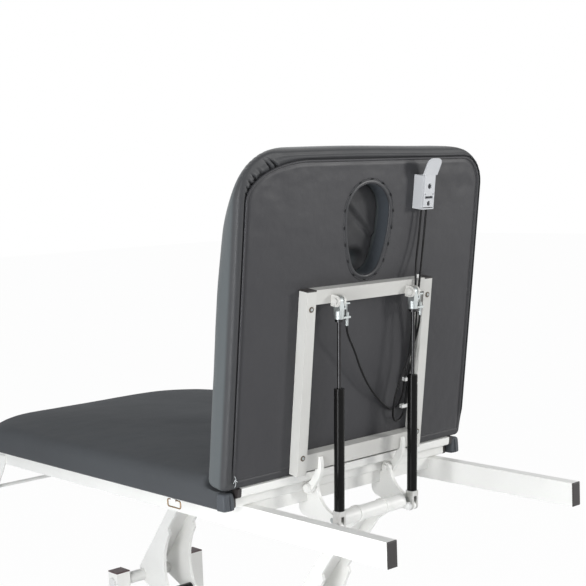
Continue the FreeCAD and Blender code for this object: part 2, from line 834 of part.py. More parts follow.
def make_rails():
    length = (S.overall_length - S.rail_end_margin) - S.rail_cap_thickness
    for side, sign in SIDES:
        low_y = rail_outer() * sign
        if sign > 0:
            low_y = rail_outer() - S.rail_width
        tube = hollow("rail_tube_" + side, (-(S.overall_length - S.rail_end_margin), low_y, -S.rail_height),
                      (length, S.rail_width, S.rail_height), S.rail_wall, "x")
        hook = plate("paper_hook_" + side, "XZ", hook_outline(), S.paper_bracket_thickness)
        outside = rail_outer() + S.paper_bracket_thickness / 2
        shift(hook, ZERO, outside * sign, ZERO)
        node("rail_" + side, fuse("rail_whole_" + side, [tube, hook]), UPPER)
        cap = box("rail_lid_" + side, (-S.rail_cap_thickness, low_y, -S.rail_height),
                  (S.rail_cap_thickness, S.rail_width, S.rail_height))
        cap = round_edges("rail_cap_soft_" + side, cap, S.rail_cap_thickness / 2,
                          lambda edge: edge.BoundBox.XMin > -number(S.running_fit))
        inset = S.rail_wall + S.plug_gap
        plug = box("rail_plug_" + side,
                   (-S.rail_cap_thickness - S.rail_plug_length, low_y + inset,
                    inset - S.rail_height),
                   (S.rail_plug_length, S.rail_width - inset * 2, S.rail_height - inset * 2))
        node("rail_cap_" + side, fuse("rail_cap_whole_" + side, [cap, plug]), UPPER)


def hook_outline():
    """A drop bracket whose open slot holds one end of the paper rod."""
    rod_x = S.paper_rod_margin - S.overall_length
    rod_z = -S.paper_rod_drop
    gap = S.paper_hook_gap
    end = -(S.overall_length - S.rail_end_margin)
    lip = rod_z - S.paper_rod_margin
    top = -(S.cross_tube_height + S.rail_wall)
    return [(end + S.paper_bracket_height, top),
            (end + S.paper_bracket_height, -(S.rail_height - S.rail_wall)),
            (rod_x + S.paper_foot_length, lip), (-S.overall_length, lip),
            (-S.overall_length, rod_z + S.paper_rod_margin),
            (rod_x - gap, rod_z + S.paper_lip_rise), (rod_x - gap, rod_z),
            (rod_x, rod_z - gap, gap, 1), (rod_x + gap, rod_z, gap, 1),
            (rod_x + gap, rod_z + S.paper_throat_rise), (end - S.paper_rod_margin, top)]


def make_cross_tubes():
    half = rail_outer() - S.rail_width
    size = (S.cross_tube_width, half * 2, S.cross_tube_height)
    for name, setback in (("hinge", S.cross_tube_setback),
                          ("lift", S.cross_tube_setback + S.pivot_spacing),
                          ("foot", S.overall_length - S.foot_tube_margin)):
        low = (-(setback + S.cross_tube_width), -half, -S.cross_tube_height)
        tube = hollow("cross_" + name, low, size, S.rail_wall, "y")
        if name == "lift":
            tube = fuse("cross_lift_with_brackets", [tube] + lift_brackets())
        node("cross_tube_" + name, tube, UPPER)


def lift_brackets():
    """Two tapered plates that carry the top axle of the foot arm."""
    pivot_x = -(S.top_pivot_setback + S.pivot_spacing)
    pivot_z = -S.top_pivot_drop
    face = -(S.cross_tube_setback + S.pivot_spacing)
    under = -S.cross_tube_height
    tip = outline_tip((pivot_x, pivot_z), S.bracket_tip_radius)
    outline = ([(face, -S.rail_wall), (face + S.tube_weld_length, -S.rail_wall)] + tip
               + [(face - S.tube_weld_length, under - S.bracket_tip_radius),
                  (face - S.tube_weld_length, under), (face, under)])
    pieces = []
    for side, sign in SIDES:
        bracket = plate("lift_bracket_" + side, "XZ", outline, S.hinge_plate_thickness,
                        [((pivot_x, pivot_z), S.axle_radius)])
        pieces.append(shift(bracket, ZERO, S.hinge_plate_middle * sign, ZERO))
    return pieces


def make_top_axles():
    reach = S.hinge_plate_middle + S.hinge_plate_thickness / 2
    for end, setback in (("head", S.top_pivot_setback),
                         ("foot", S.top_pivot_setback + S.pivot_spacing)):
        shaft = cylinder("top_shaft_" + end, S.axle_radius, reach * 2,
                         (-setback, -reach, -S.top_pivot_drop), "y")
        node("top_axle_" + end, wrap("top_axle_group_" + end, shaft), UPPER)


def hinge_plate_outline():
    """Swan-necked plate seen from the left, from the hinge eye to the gas spring pivot."""
    eye = S.hinge_eye_radius
    tip = (S.strut_pivot_ahead, -S.strut_pivot_drop)
    radius = S.plate_tip_radius
    face = S.hinge_setback - S.cross_tube_setback
    top = -S.hinge_rise - S.overrun
    under = -S.hinge_rise - S.cross_tube_height
    heel = face - S.tube_weld_length
    return [(-eye, ZERO), (ZERO, eye, eye, -1), (eye, ZERO, eye, -1),
            (S.plate_beak_ahead, -S.plate_beak_drop, S.plate_neck_bend, 1),
            (tip[0], tip[1] + radius), (tip[0] + radius, tip[1], radius, -1),
            (tip[0], tip[1] - radius, radius, -1),
            (S.plate_keel_ahead, -S.plate_keel_drop),
            (-S.plate_belly_back, -S.plate_belly_drop),
            (heel, -S.plate_heel_drop, S.plate_heel_bend, -1),
            (heel, under), (face, under), (face, top), (-eye, top)]


def make_hinge_plates():
    frame = frame_at(hinge_x, hinge_z)
    axle = (S.hinge_setback - S.top_pivot_setback, -(S.hinge_rise + S.top_pivot_drop))
    spring = (S.strut_pivot_ahead, -S.strut_pivot_drop)
    half = S.hinge_plate_thickness / 2
    arm_inner = S.hinge_arm_middle - S.hinge_arm_thickness / 2 - S.side_gap
    arm_outer = S.hinge_arm_middle + S.hinge_arm_thickness / 2 + S.side_gap
    for side, sign in SIDES:
        name = "hinge_plate_" + side
        swan = plate(name + "_swan", "XZ", hinge_plate_outline(), S.hinge_plate_thickness,
                     [(axle, S.axle_radius), (spring, S.strut_pin_radius + S.running_fit)])
        shift(swan, ZERO, S.hinge_plate_middle * sign, ZERO)
        pieces = [swan]
        outer = S.hinge_plate_middle + half
        inner = S.hinge_plate_middle - half
        for tag, radius, start, end in (
                ("spacer", S.hinge_cap_radius - S.overrun, outer, arm_inner),
                ("pin", S.hinge_pin_radius, inner, arm_outer),
                ("nut", S.hinge_nut_radius, inner - S.hinge_nut_height, inner)):
            low = start if sign > 0 else -end
            pieces.append(cylinder(name + "_" + tag, radius, end - start, (ZERO, low, ZERO), "y"))
        pieces.append(dome(name + "_cap", S.hinge_cap_radius, S.hinge_cap_height,
                           (ZERO, arm_outer * sign, ZERO), sign))
        node(name, fuse(name + "_whole", pieces), frame)


def end_bar_outline(low_x, high_x, low_z, high_z, front):
    """A bar section with its two front corners rounded; front is 1 for +X, -1 for -X."""
    soft = S.end_bar_round
    back = low_x if front > 0 else high_x
    face = high_x if front > 0 else low_x
    step = -soft if front > 0 else soft
    return [(back, low_z), (back, high_z), (face + step, high_z),
            (face, high_z - soft, soft, -front), (face, low_z + soft),
            (face + step, low_z, soft, -front)]


def make_seat_bar():
    face = -S.seat_bar_face_setback
    outline = end_bar_outline(face - S.seat_bar_depth, face, ZERO, S.seat_bar_height, 1)
    bar = plate("seat_bar", "XZ", outline, (S.cushion_half - S.end_bar_inset) * 2)
    node("seat_end_bar", bar, UPPER)


# Cushions

def soft_outline(low_x, high_x, half, low_corner, high_corner, inset, height):
    """One level of a cushion: a rectangle with its own corner radius at each end."""
    x0 = low_x + inset
    x1 = high_x - inset
    y1 = half - inset
    low_r = max(low_corner - inset * CORNER_DRAW_SHARE, low_corner * CORNER_LEAST_SHARE)
    high_r = max(high_corner - inset * CORNER_DRAW_SHARE, high_corner * CORNER_LEAST_SHARE)
    corners = ((x0, -y1, low_r, QUARTER * 2), (x1, -y1, high_r, QUARTER * 3),
               (x1, y1, high_r, 0), (x0, y1, low_r, QUARTER))
    edges = []
    ends = []
    for x, y, radius, angle in corners:
        centre = FreeCAD.Vector(x + radius if x == x0 else x - radius,
                                y + radius if y < 0 else y - radius, height)
        points = []
        for turn in (0, QUARTER / 2, QUARTER):
            spot = math.radians(angle + turn)
            points.append(centre + FreeCAD.Vector(math.cos(spot), math.sin(spot), 0) * radius)
        ends.append((points[0], points[2], Part.Arc(*points).toShape()))
    for index in range(4):
        edges.append(ends[index][2])
        edges.append(Part.LineSegment(ends[index][1], ends[(index + 1) % 4][0]).toShape())
    return Part.Wire(edges)


def grown_corner(corner, rise):
    """The big corners grow rounder from the board, rise 0, to the face of the pad, rise 1."""
    if corner > number(S.hinge_corner):
        return corner + number(S.corner_growth) * rise
    return corner


def cushion_shape(low_x, high_x, low_corner, high_corner, bottom):
    """Side walls drawn in at both edges, then a low crown over the top."""
    half = number(S.cushion_half)
    soft = number(S.soft_inset)
    thick = number(S.cushion_thickness)
    levels = []
    for height_share, inset_share in CUSHION_EDGE_SHARES:
        levels.append((bottom + thick * height_share, soft * inset_share, height_share))
    for crown_share, inward_share in CUSHION_CROWN_SHARES:
        levels.append((bottom + thick + number(S.cushion_crown) * crown_share,
                       soft + (half - soft) * inward_share, 1))
    wires = []
    for height, inset, rise in levels:
        corners = [grown_corner(corner, rise) for corner in (low_corner, high_corner)]
        wires.append(soft_outline(low_x, high_x, half, *corners, inset, height))
    return Part.makeLoft(wires, True, True)


def cushion_form(name, low_x, high_x, low_corner, high_corner, bottom):
    form = doc.addObject("Part::Feature", name)
    form.Shape = cushion_shape(number(low_x), number(high_x), number(low_corner),
                               number(high_corner), number(bottom))
    return form


def make_seat_cushion():
    end = -S.cross_tube_setback + S.overrun
    start = -S.relief_setback
    high = S.cushion_thickness + S.cushion_crown + S.overrun
    form = cushion_form("seat_form", -(S.overall_length - S.seat_end_margin), -S.cross_tube_setback,
                        S.cushion_corner, S.hinge_corner, ZERO)
    relief = plate("seat_relief", "XZ", [(start, S.relief_back_rise), (start, high),
                                         (end, high), (end, S.relief_rise)],
                   (S.cushion_half + S.overrun) * 2)
    back = -(S.seat_bar_face_setback + S.seat_bar_depth)
    half = (S.cushion_half - S.end_bar_inset) + S.bar_recess_gap
    recess = box("seat_recess", (back, -half, -S.overrun),
                 (S.seat_bar_depth, half * 2,
                  S.seat_bar_height + S.bar_recess_rise + S.overrun))
    node("seat_cushion", cut("seat_cushion_cut", form, relief, recess), UPPER)


def egg_outline(tag, spare):
    """An egg of tangent arcs along +X; the spare gap makes it smaller all round."""
    half = S.hole_half - spare
    tip = S.hole_tip_radius - spare
    wide = S.back_length - S.hole_wide_margin
    middle = wide - S.hole_fall + S.hole_tip_radius
    fall = number(wide - middle)
    narrowing = number(half - tip)
    bend = derive("egg_bend_" + tag, (fall ** 2 / narrowing + number(half + tip)) / 2)
    far = number(bend - tip)
    touch = derive("egg_touch_along_" + tag, number(middle) - number(tip) * fall / far)
    side = derive("egg_touch_side_" + tag, number(tip) * number(bend - half) / far)
    return [(wide, half, bend, -1), (wide + half, ZERO, half, -1), (wide, -half, half, -1),
            (touch, -side, bend, -1), (middle - tip, ZERO, tip, -1), (touch, side, tip, -1)]


def make_back_cushion():
    form = cushion_form("back_form", S.back_start, S.back_length,
                        S.hinge_corner, S.cushion_corner, -S.back_plane)
    hole = plate("face_hole", "XY", egg_outline("hole", ZERO), S.cushion_thickness * 4)
    half = (S.cushion_half - S.end_bar_inset) + S.bar_recess_gap
    recess = box("back_recess", (S.back_start - S.overrun, -half, -(S.back_plane + S.overrun)),
                 (S.back_bar_end - S.back_start + S.overrun, half * 2,
                  S.back_bar_inner + S.back_plane + S.overrun))
    node("back_cushion", cut("back_cushion_cut", form, hole, recess), BACK)
    front = S.cushion_thickness - S.back_plane + S.cushion_crown + S.plug_proud
    depth = front - S.plug_recess
    plug = shift(plate("plug_egg", "XY", egg_outline("plug", S.plug_clearance), depth),
                 ZERO, ZERO, S.plug_recess + depth / 2)
    doc.recompute()
    top = number(front) - NEARLY_NONE
    plug = round_edges("plug_soft", plug, S.plug_round,
                       lambda edge: edge.BoundBox.ZMin > top)
    node("face_plug", plug, BACK)


# Backrest frame, in the backrest's own frame: x up the back, z to its front

def make_back_frame():
    back = -(S.back_plane + S.upright_width)
    cap = S.upright_cap_height
    for side, sign in SIDES:
        low_y = S.upright_outer - S.upright_width if sign > 0 else -S.upright_outer
        tube = hollow("upright_" + side, (S.upright_start, low_y, back),
                      (S.upright_end - cap - S.upright_start, S.upright_width, S.upright_width),
                      S.upright_wall, "x")
        end = box("upright_cap_" + side, (S.upright_end - cap, low_y, back),
                  (cap, S.upright_width, S.upright_width))
        node("back_upright_" + side, fuse("upright_whole_" + side, [tube, end]), BACK)
    half = S.upright_outer - S.upright_width
    for name, start, height in (("upper", S.upright_end - S.upper_bar_height, S.upper_bar_height),
                                ("lower", S.lower_bar_start, S.lower_bar_height)):
        tube = hollow("crossbar_" + name, (start, -half, back),
                      (height, half * 2, S.upright_width), S.upright_wall, "y")
        node("back_crossbar_" + name, tube, BACK)
    outline = end_bar_outline(S.back_bar_start, S.back_bar_end, -S.back_bar_outer,
                              S.back_bar_inner, -1)
    node("back_end_bar", plate("back_bar", "XZ", outline, (S.cushion_half - S.end_bar_inset) * 2), BACK)


def hinge_arm_outline():
    eye = S.hinge_eye_radius
    back = -(S.back_plane + S.upright_width)
    return [(ZERO, -eye), (-eye, ZERO, eye, -1), (ZERO, eye, eye, -1), (eye, ZERO, eye, -1),
            (S.hinge_arm_shin, -S.hinge_arm_shin_out), (S.hinge_arm_knee, -S.hinge_arm_knee_out),
            (S.lower_bar_start, -S.hinge_arm_seat_out), (S.lower_bar_start, back),
            (S.hinge_arm_top, back), (S.hinge_arm_top, back - S.hinge_arm_lap),
            (S.hinge_arm_elbow, back - S.hinge_arm_bulge, S.hinge_arm_outer_bend, -1),
            (S.hinge_arm_waist, -S.hinge_arm_waist_out, S.hinge_arm_outer_bend, -1)]


def make_back_brackets():
    back = -(S.back_plane + S.upright_width)
    inner = S.head_thickness / 2 + S.head_side_gap
    middle = inner + S.clevis_wall / 2
    along = S.upper_pivot_along
    out = S.upper_pivot_out
    radius = S.clevis_radius
    for side, sign in SIDES:
        arm = plate("hinge_arm_form_" + side, "XZ", hinge_arm_outline(), S.hinge_arm_thickness,
                    [((ZERO, ZERO), S.hinge_pin_radius + S.running_fit)])
        node("hinge_arm_" + side, shift(arm, ZERO, S.hinge_arm_middle * sign, ZERO), BACK)
        place = S.strut_side * sign
        base = box("clevis_base_" + side,
                   (along - radius, place - inner - S.clevis_wall, back - S.clevis_base),
                   (radius * 2, (inner + S.clevis_wall) * 2, S.clevis_base))
        pieces = [base]
        outline = [(along - radius, back), (along + radius, back), (along + radius, -out),
                   (along, -(out + radius), radius, -1), (along - radius, -out, radius, -1)]
        for hand, way in SIDES:
            lobe = plate("clevis_lobe_" + side + hand, "XZ", outline, S.clevis_wall)
            pieces.append(shift(lobe, ZERO, place + middle * way, ZERO))
        face = place - inner - S.clevis_wall
        if sign < 0:
            pieces.append(cylinder("clevis_bolt", S.bolt_head_radius, S.bolt_head_height,
                                   (along, face - S.bolt_head_height, -out), "y"))
        else:
            pieces.append(dome("clevis_cap", S.bolt_cap_radius, S.bolt_cap_height,
                               (along, face, -out), -1))
        node("clevis_" + side, fuse("clevis_whole_" + side, pieces), BACK)


# Gas springs, each in its own frame: z up from the lower pivot

def make_struts():
    top = derive("strut_reach", strut_length)
    for side, sign in SIDES:
        frame = STRUT.multiply(FreeCAD.Placement(
            FreeCAD.Vector(0, number(S.strut_side) * sign, 0), FreeCAD.Rotation()))
        make_fork(side, frame)
        barrel = cylinder("barrel_" + side, S.cylinder_radius, S.cylinder_top - S.fork_top,
                          (ZERO, ZERO, S.fork_top))
        groove_low = S.cylinder_top - S.groove_below
        ring = cylinder("groove_out_" + side, S.cylinder_radius + S.overrun, S.groove_width,
                        (ZERO, ZERO, groove_low))
        core = cylinder("groove_in_" + side, S.cylinder_radius - S.groove_depth, S.groove_width,
                        (ZERO, ZERO, groove_low))
        bore = cylinder("bore_" + side, S.spring_rod_radius + S.running_fit,
                        S.cylinder_bore_depth + S.overrun,
                        (ZERO, ZERO, S.cylinder_top - S.cylinder_bore_depth))
        node("strut_cylinder_" + side,
             cut("barrel_cut_" + side, barrel, cut("groove_" + side, ring, core), bore), frame)
        rod_low = S.cylinder_top - S.spring_rod_depth
        rod = cylinder("rod_bar_" + side, S.spring_rod_radius,
                       top - S.head_bottom_below - rod_low, (ZERO, ZERO, rod_low))
        collar = cylinder("rod_collar_" + side, S.collar_radius, S.collar_height,
                          (ZERO, ZERO, top - S.collar_below))
        node("strut_rod_" + side, fuse("rod_whole_" + side, [rod, collar]), frame)
        make_spring_head(side, frame, top)


def make_fork(side, frame):
    half = S.fork_gap / 2 + S.fork_cheek
    width = S.fork_width / 2
    outer = fuse("fork_outer_" + side, [
        box("fork_block_" + side, (-width, -half, ZERO), (S.fork_width, half * 2, S.fork_top)),
        cylinder("fork_round_" + side, width, half * 2, (ZERO, -half, ZERO), "y")])
    slot = box("fork_slot_" + side, (-(width + S.overrun), -(S.fork_gap / 2),
                                     -(width + S.overrun)),
               ((width + S.overrun) * 2, S.fork_gap, S.fork_slot + width + S.overrun))
    pieces = [cut("fork_slotted_" + side, outer, slot),
              cylinder("fork_pin_" + side, S.strut_pin_radius, half * 2, (ZERO, -half, ZERO), "y"),
              dome("fork_cap_" + side, S.fork_cap_radius, S.fork_cap_height,
                   (ZERO, -half, ZERO), -1),
              cylinder("fork_nut_" + side, S.bolt_head_radius, S.bolt_head_height,
                       (ZERO, half, ZERO), "y")]
    node("strut_fork_" + side, fuse("fork_whole_" + side, pieces), frame)


def make_spring_head(side, frame, top):
    half = S.head_thickness / 2
    width = S.head_width / 2
    bottom = top - S.head_bottom_below
    plate_half = S.adjuster_plate_width / 2
    plate_top = bottom + S.adjuster_plate_thickness
    barrel = S.head_bottom_below - S.head_lever_below - S.head_lever_barrel
    solid = fuse("head_solid_" + side, [
        cylinder("head_barrel_" + side, S.head_barrel_radius, barrel, (ZERO, ZERO, bottom)),
        box("head_block_" + side, (-width, -half, bottom + barrel / 2),
            (S.head_width, half * 2, S.head_bottom_below - barrel / 2)),
        cylinder("head_eye_" + side, S.head_eye_radius, half * 2, (ZERO, -half, top), "y"),
        box("head_plate_" + side, (-plate_half, half, bottom),
            (S.adjuster_plate_width, S.cable_side + plate_half - half,
             S.adjuster_plate_thickness)),
        cylinder("head_adjuster_" + side, S.adjuster_radius, S.adjuster_height,
                 (ZERO, S.cable_side, plate_top)),
        cylinder("head_ferrule_" + side, S.ferrule_radius, S.ferrule_below - S.head_bottom_below,
                 (ZERO, S.cable_side, top - S.ferrule_below))])
    eye = cylinder("head_bore_" + side, S.strut_pin_radius + S.running_fit,
                   half * 2 + S.overrun * 2, (ZERO, -half - S.overrun, top), "y")
    wire = cylinder("adjuster_bore_" + side, S.adjuster_bore,
                    S.adjuster_height + S.adjuster_plate_thickness + S.overrun,
                    (ZERO, S.cable_side, bottom))
    node("release_head_" + side, cut("head_cut_" + side, solid, eye, wire), frame)
    thick = S.head_lever_thickness
    low = top - S.head_lever_below
    high = top - S.head_lever_top_below
    step = S.head_lever_step
    strip = plate("head_lever_strip_" + side, "YZ",
                  [(S.head_lever_start, low), (S.head_lever_start, low + thick),
                   (step, low + thick), (step, high), (S.head_lever_end, high),
                   (S.head_lever_end, high - thick), (step + thick, high - thick),
                   (step + thick, low)], S.head_lever_width)
    pin = cylinder("head_lever_pin_" + side, S.head_lever_pin_radius, S.head_lever_pin_length,
                   (ZERO, S.cable_side, high - thick / 2 - S.head_lever_pin_length))
    barrel = cylinder("head_lever_barrel_" + side, S.head_lever_barrel, S.head_lever_width,
                      (-(S.head_lever_width / 2), S.head_lever_start + S.head_lever_barrel,
                       low + thick / 2), "x")
    node("head_lever_" + side, fuse("head_lever_whole_" + side, [strip, pin, barrel]), frame)


# Release lever and its bracket on the back of the backrest

def lever_pin_along():
    return S.back_length - S.lever_pin_margin


def make_lever_bracket():
    wall = S.lever_wall
    low = -S.lever_bracket_depth - S.back_plane
    pin_along = lever_pin_along()
    start = pin_along - S.lever_bracket_below
    half = S.lever_bracket_width / 2
    length = S.lever_bracket_above + S.lever_bracket_below
    side = S.lever_side
    pieces = [box("lever_base", (start, side - half, -S.back_plane - wall),
                  (length, half * 2, wall)),
              box("lever_flange", (start, side - half, low),
                  (wall, half * 2, S.lever_bracket_depth))]
    for hand, sign in SIDES:
        low_y = side + half - wall if sign > 0 else side - half
        pieces.append(box("lever_cheek_" + hand, (start, low_y, low),
                          (length, wall, S.lever_bracket_depth)))
    pieces.append(cylinder("lever_pin", S.lever_pin_radius, half * 2,
                           (pin_along, side - half, -S.lever_pin_out), "y"))
    node("lever_bracket", fuse("lever_bracket_whole", pieces), BACK)


def make_release_lever():
    side = S.lever_side
    half = S.lever_face_half
    thick = S.lever_face_outer - S.lever_face_inner
    pin_along = lever_pin_along()
    start = pin_along - S.lever_face_below
    end = pin_along + S.lever_paddle_above
    face = plate("lever_face", "XY", [(start, -half), (end, -half), (end, half), (start, half)],
                 thick,
                 [((pin_along - S.lever_upper_hole_below, ZERO), S.lever_upper_hole),
                  ((pin_along - S.lever_lower_hole_below, ZERO), S.lever_lower_hole),
                  ((pin_along - S.lever_rivet_below, S.lever_rivet_side), S.lever_rivet_hole),
                  ((pin_along - S.lever_rivet_below, -S.lever_rivet_side), S.lever_rivet_hole)])
    shift(face, ZERO, side, -(S.lever_face_inner + thick / 2))
    slot = box("lever_slot", (pin_along - S.lever_slot_below - S.lever_slot_height / 2,
                              side - S.lever_slot_length / 2,
                              -(S.lever_face_outer + S.overrun)),
               (S.lever_slot_height, S.lever_slot_length, thick + S.overrun * 2))
    wide = S.lever_paddle_width / 2
    soft = S.lever_paddle_round
    length = S.lever_paddle_length
    paddle = plate("lever_paddle", "XY",
                   [(ZERO, -wide), (ZERO, wide), (length - soft, wide),
                    (length, wide - soft, soft, -1), (length, soft - wide),
                    (length - soft, -wide, soft, -1)], thick)
    paddle.Placement = frame_at(0, 0, -number(S.lever_paddle_tilt))
    shift(paddle, end - thick, side, -(S.lever_face_inner + thick / 2))
    pieces = [cut("lever_face_cut", face, slot), paddle,
              cylinder("lever_sleeve", S.lever_sleeve_radius, half * 2,
                       (pin_along, side - half, -S.lever_pin_out), "y")]
    for hand, sign in SIDES:
        low_y = side + half - S.lever_rib if sign > 0 else side - half
        pieces.append(box("lever_rib_" + hand,
                          (pin_along - S.lever_rib_half, low_y, -S.lever_face_inner),
                          (S.lever_rib_half * 2, S.lever_rib,
                           S.lever_face_inner - S.lever_pin_out)))
    bore = cylinder("lever_bore", S.lever_pin_radius + S.running_fit, (half + S.overrun) * 2,
                    (pin_along, side - half - S.overrun, -S.lever_pin_out), "y")
    node("release_lever", cut("release_lever_cut", fuse("lever_whole", pieces), bore), BACK)


# Round bars that follow bent paths

def bent_path(points, bend=0):
    """Straight runs joined by tangent arcs; without a bend each arc fills its corner."""
    corners = [FreeCAD.Vector(*point) for point in points]
    edges = []
    radii = []
    last = corners[0]
    for index in range(1, len(corners) - 1):
        before = corners[index] - corners[index - 1]
        after = corners[index + 1] - corners[index]
        half_turn = before.getAngle(after) / 2
        radius = bend
        if not bend:
            radius = BEND_SHARE * min(before.Length, after.Length) / math.tan(half_turn)
        trim = radius * math.tan(half_turn)
        start = corners[index] - before.normalize() * trim
        end = corners[index] + after.normalize() * trim
        inward = (after - before).normalize()
        crest = corners[index] + inward * (radius / math.cos(half_turn) - radius)
        if (start - last).Length > NEARLY_NONE:
            edges.append(Part.LineSegment(last, start).toShape())
        edges.append(Part.Arc(start, crest, end).toShape())
        radii.append(radius)
        last = end
    if (corners[-1] - last).Length > NEARLY_NONE:
        edges.append(Part.LineSegment(last, corners[-1]).toShape())
    return Part.Wire(edges), radii


def round_bar(label, points, radius, frame, bend=0):
    path, radii = bent_path(points, bend)
    start = path.Edges[0].valueAt(path.Edges[0].FirstParameter)
    heading = path.Edges[0].tangentAt(path.Edges[0].FirstParameter)
    ring = Part.Wire([Part.Circle(start, heading, radius).toShape()])
    bar = doc.addObject("Part::Feature", label + "_sweep")
    bar.Shape = path.makePipeShell([ring], True, False)
    expected = path.Length * math.pi * radius ** 2
    print(label, "smallest bend", round(min(radii), 1), "path", round(path.Length, 1),
          "volume share of the path's", round(bar.Shape.Volume / expected, 4))
    node(label, bar, frame)


def make_cables():
    lean = math.radians(strut_tilt + number(S.raise_angle)) - math.pi / 2
    drop = number(S.ferrule_below + S.cable_end_gap)
    top = number(lever_pin_along() - S.lever_bracket_below)
    end = FreeCAD.Vector(number(S.upper_pivot_along) - drop * math.cos(lean), 0,
                         -number(S.upper_pivot_out) + drop * math.sin(lean))
    for side, sign in SIDES:
        finish = (end.x, number(S.strut_side) * sign + number(S.cable_side), end.z)
        points = [(top + along, across, -out) for along, across, out in CABLE_TOPS[side]]
        for along, across, out in CABLE_PATHS[side]:
            points.append((along, across, -out))
        lead = CABLE_LEAD
        points.append((finish[0] - lead * math.cos(lean), finish[1],
                       finish[2] + lead * math.sin(lean)))
        points.append(finish)
        round_bar("cable_" + side, points, number(S.cable_radius), BACK)


def make_ring_and_rod():
    x = -S.ring_setback
    ring_side = S.cushion_half - S.ring_inset
    half = S.ring_clip_length / 2
    reach = S.ring_wire_radius + S.side_gap + S.ring_clip_wall
    clip = box("ring_clip_block", (x - half, -ring_side - reach, -(S.ring_drop + reach)),
               (S.ring_clip_length, reach * 2, S.ring_drop + reach))
    bore = cylinder("ring_clip_bore", S.ring_wire_radius + S.side_gap,
                    S.ring_clip_length + S.overrun * 2,
                    (x - half - S.overrun, -ring_side, -S.ring_drop), "x")
    node("ring_clip", cut("ring_clip_cut", clip, bore), UPPER)
    wide = number(S.ring_width) / 2
    deep = number(S.ring_height)
    points = [(0, 0, 0), (wide, 0, 0), (wide, 0, -deep), (-wide, 0, -deep), (-wide, 0, 0),
              (0, 0, 0)]
    round_bar("wire_ring", points, number(S.ring_wire_radius),
              UPPER.multiply(FreeCAD.Placement(FreeCAD.Vector(
                  number(x), -number(ring_side), -number(S.ring_drop)), FreeCAD.Rotation())),
              number(S.ring_corner))
    rod = cylinder("paper_rod_bar", S.paper_rod_radius, paper_rod_half() * 2,
                   (S.paper_rod_margin - S.overall_length, -paper_rod_half(),
                    -S.paper_rod_drop), "y")
    node("paper_rod", rod, UPPER)


# Everything in turn, then the checks and the files

write_sheet()
make_base()
make_arm("head", HEAD_ARM)
make_arm("foot", FOOT_ARM)
make_ram()
make_pedal()
make_rails()
make_cross_tubes()
make_top_axles()
make_hinge_plates()
make_seat_bar()
make_seat_cushion()
make_ring_and_rod()
make_back_cushion()
make_back_frame()
make_back_brackets()
make_struts()
make_lever_bracket()
make_release_lever()
make_cables()
doc.recompute()

for item in doc.Objects:
    if "Invalid" in item.State or "Error" in item.State:
        raise ValueError("unfinished object: " + item.Name)
for item in nodes:
    if item.Shape.isNull() or not item.Shape.isValid():
        raise ValueError("shape not valid: " + item.Label)

print("strut reach", round(strut_length, 2), "tilt", round(strut_tilt, 3))
print("base pivots", round(head_pivot_x, 2), round(foot_pivot_x, 2), round(pivot_height, 2))
print("ram reach", round(ram_length, 2), "tilt", round(ram_tilt, 3))
os.makedirs("parts", exist_ok=True)
for item in nodes:
    item.Shape.exportStep("parts/" + item.Label + ".step")
print(len(nodes), "files written")
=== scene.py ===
"""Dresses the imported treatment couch: covers, paint, metal, cables, floor, lamps and camera.

Everything is in metres in the couch's own frame: +X to the head end, +Z up, floor at z = 0.
"""
import bpy
import json
import math
from mathutils import Matrix, Vector, noise

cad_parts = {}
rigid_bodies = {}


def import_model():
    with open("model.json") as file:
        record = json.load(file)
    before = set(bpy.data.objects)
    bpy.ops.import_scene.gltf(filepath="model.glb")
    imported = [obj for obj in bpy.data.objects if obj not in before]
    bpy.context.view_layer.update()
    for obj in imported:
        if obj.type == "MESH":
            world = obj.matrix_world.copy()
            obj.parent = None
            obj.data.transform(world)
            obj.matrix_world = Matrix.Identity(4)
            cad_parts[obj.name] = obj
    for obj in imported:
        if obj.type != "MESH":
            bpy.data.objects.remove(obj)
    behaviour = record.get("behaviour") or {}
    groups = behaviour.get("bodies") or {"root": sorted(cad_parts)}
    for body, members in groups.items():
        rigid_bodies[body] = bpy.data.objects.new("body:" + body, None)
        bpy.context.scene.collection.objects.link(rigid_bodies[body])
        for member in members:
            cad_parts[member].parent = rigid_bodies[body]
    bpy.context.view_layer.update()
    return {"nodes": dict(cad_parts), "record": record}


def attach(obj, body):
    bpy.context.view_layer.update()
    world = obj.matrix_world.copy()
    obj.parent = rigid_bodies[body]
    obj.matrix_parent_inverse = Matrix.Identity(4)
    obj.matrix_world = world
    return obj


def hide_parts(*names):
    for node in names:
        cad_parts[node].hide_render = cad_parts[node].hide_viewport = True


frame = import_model()
for item in bpy.data.objects:
    item.select_set(False)

MM = 0.001
RAIL_TOP = 0.674
HEAD_END = 0.720
HINGE = Vector((0.3345, 0.0, 0.682))
RAISED = math.radians(82.4)
UP_BACK = Vector((math.cos(RAISED), 0.0, math.sin(RAISED)))
TO_FRONT = Vector((-math.sin(RAISED), 0.0, math.cos(RAISED)))
HALF_WIDTH = 0.361
BAR_HALF = 0.3315
PAD_THICKNESS = 0.066
PAD_CROWN = 0.009
SOFT_EDGE = 0.026
CUSHION_CORNER = 0.088
CORNER_GROWTH = 0.095
HINGE_CORNER = 0.012


def on_back(along, across, front):
    """A place on the backrest, from its hinge: up its length, across, and to its front."""
    return HINGE + UP_BACK * along + TO_FRONT * front + Vector((0.0, across, 0.0))


# Materials

def joined(tree, socket, value):
    """Links a signal to a socket, or sets a plain value on it."""
    if isinstance(value, Signal):
        tree.links.new(value.socket, socket)
    else:
        socket.default_value = value


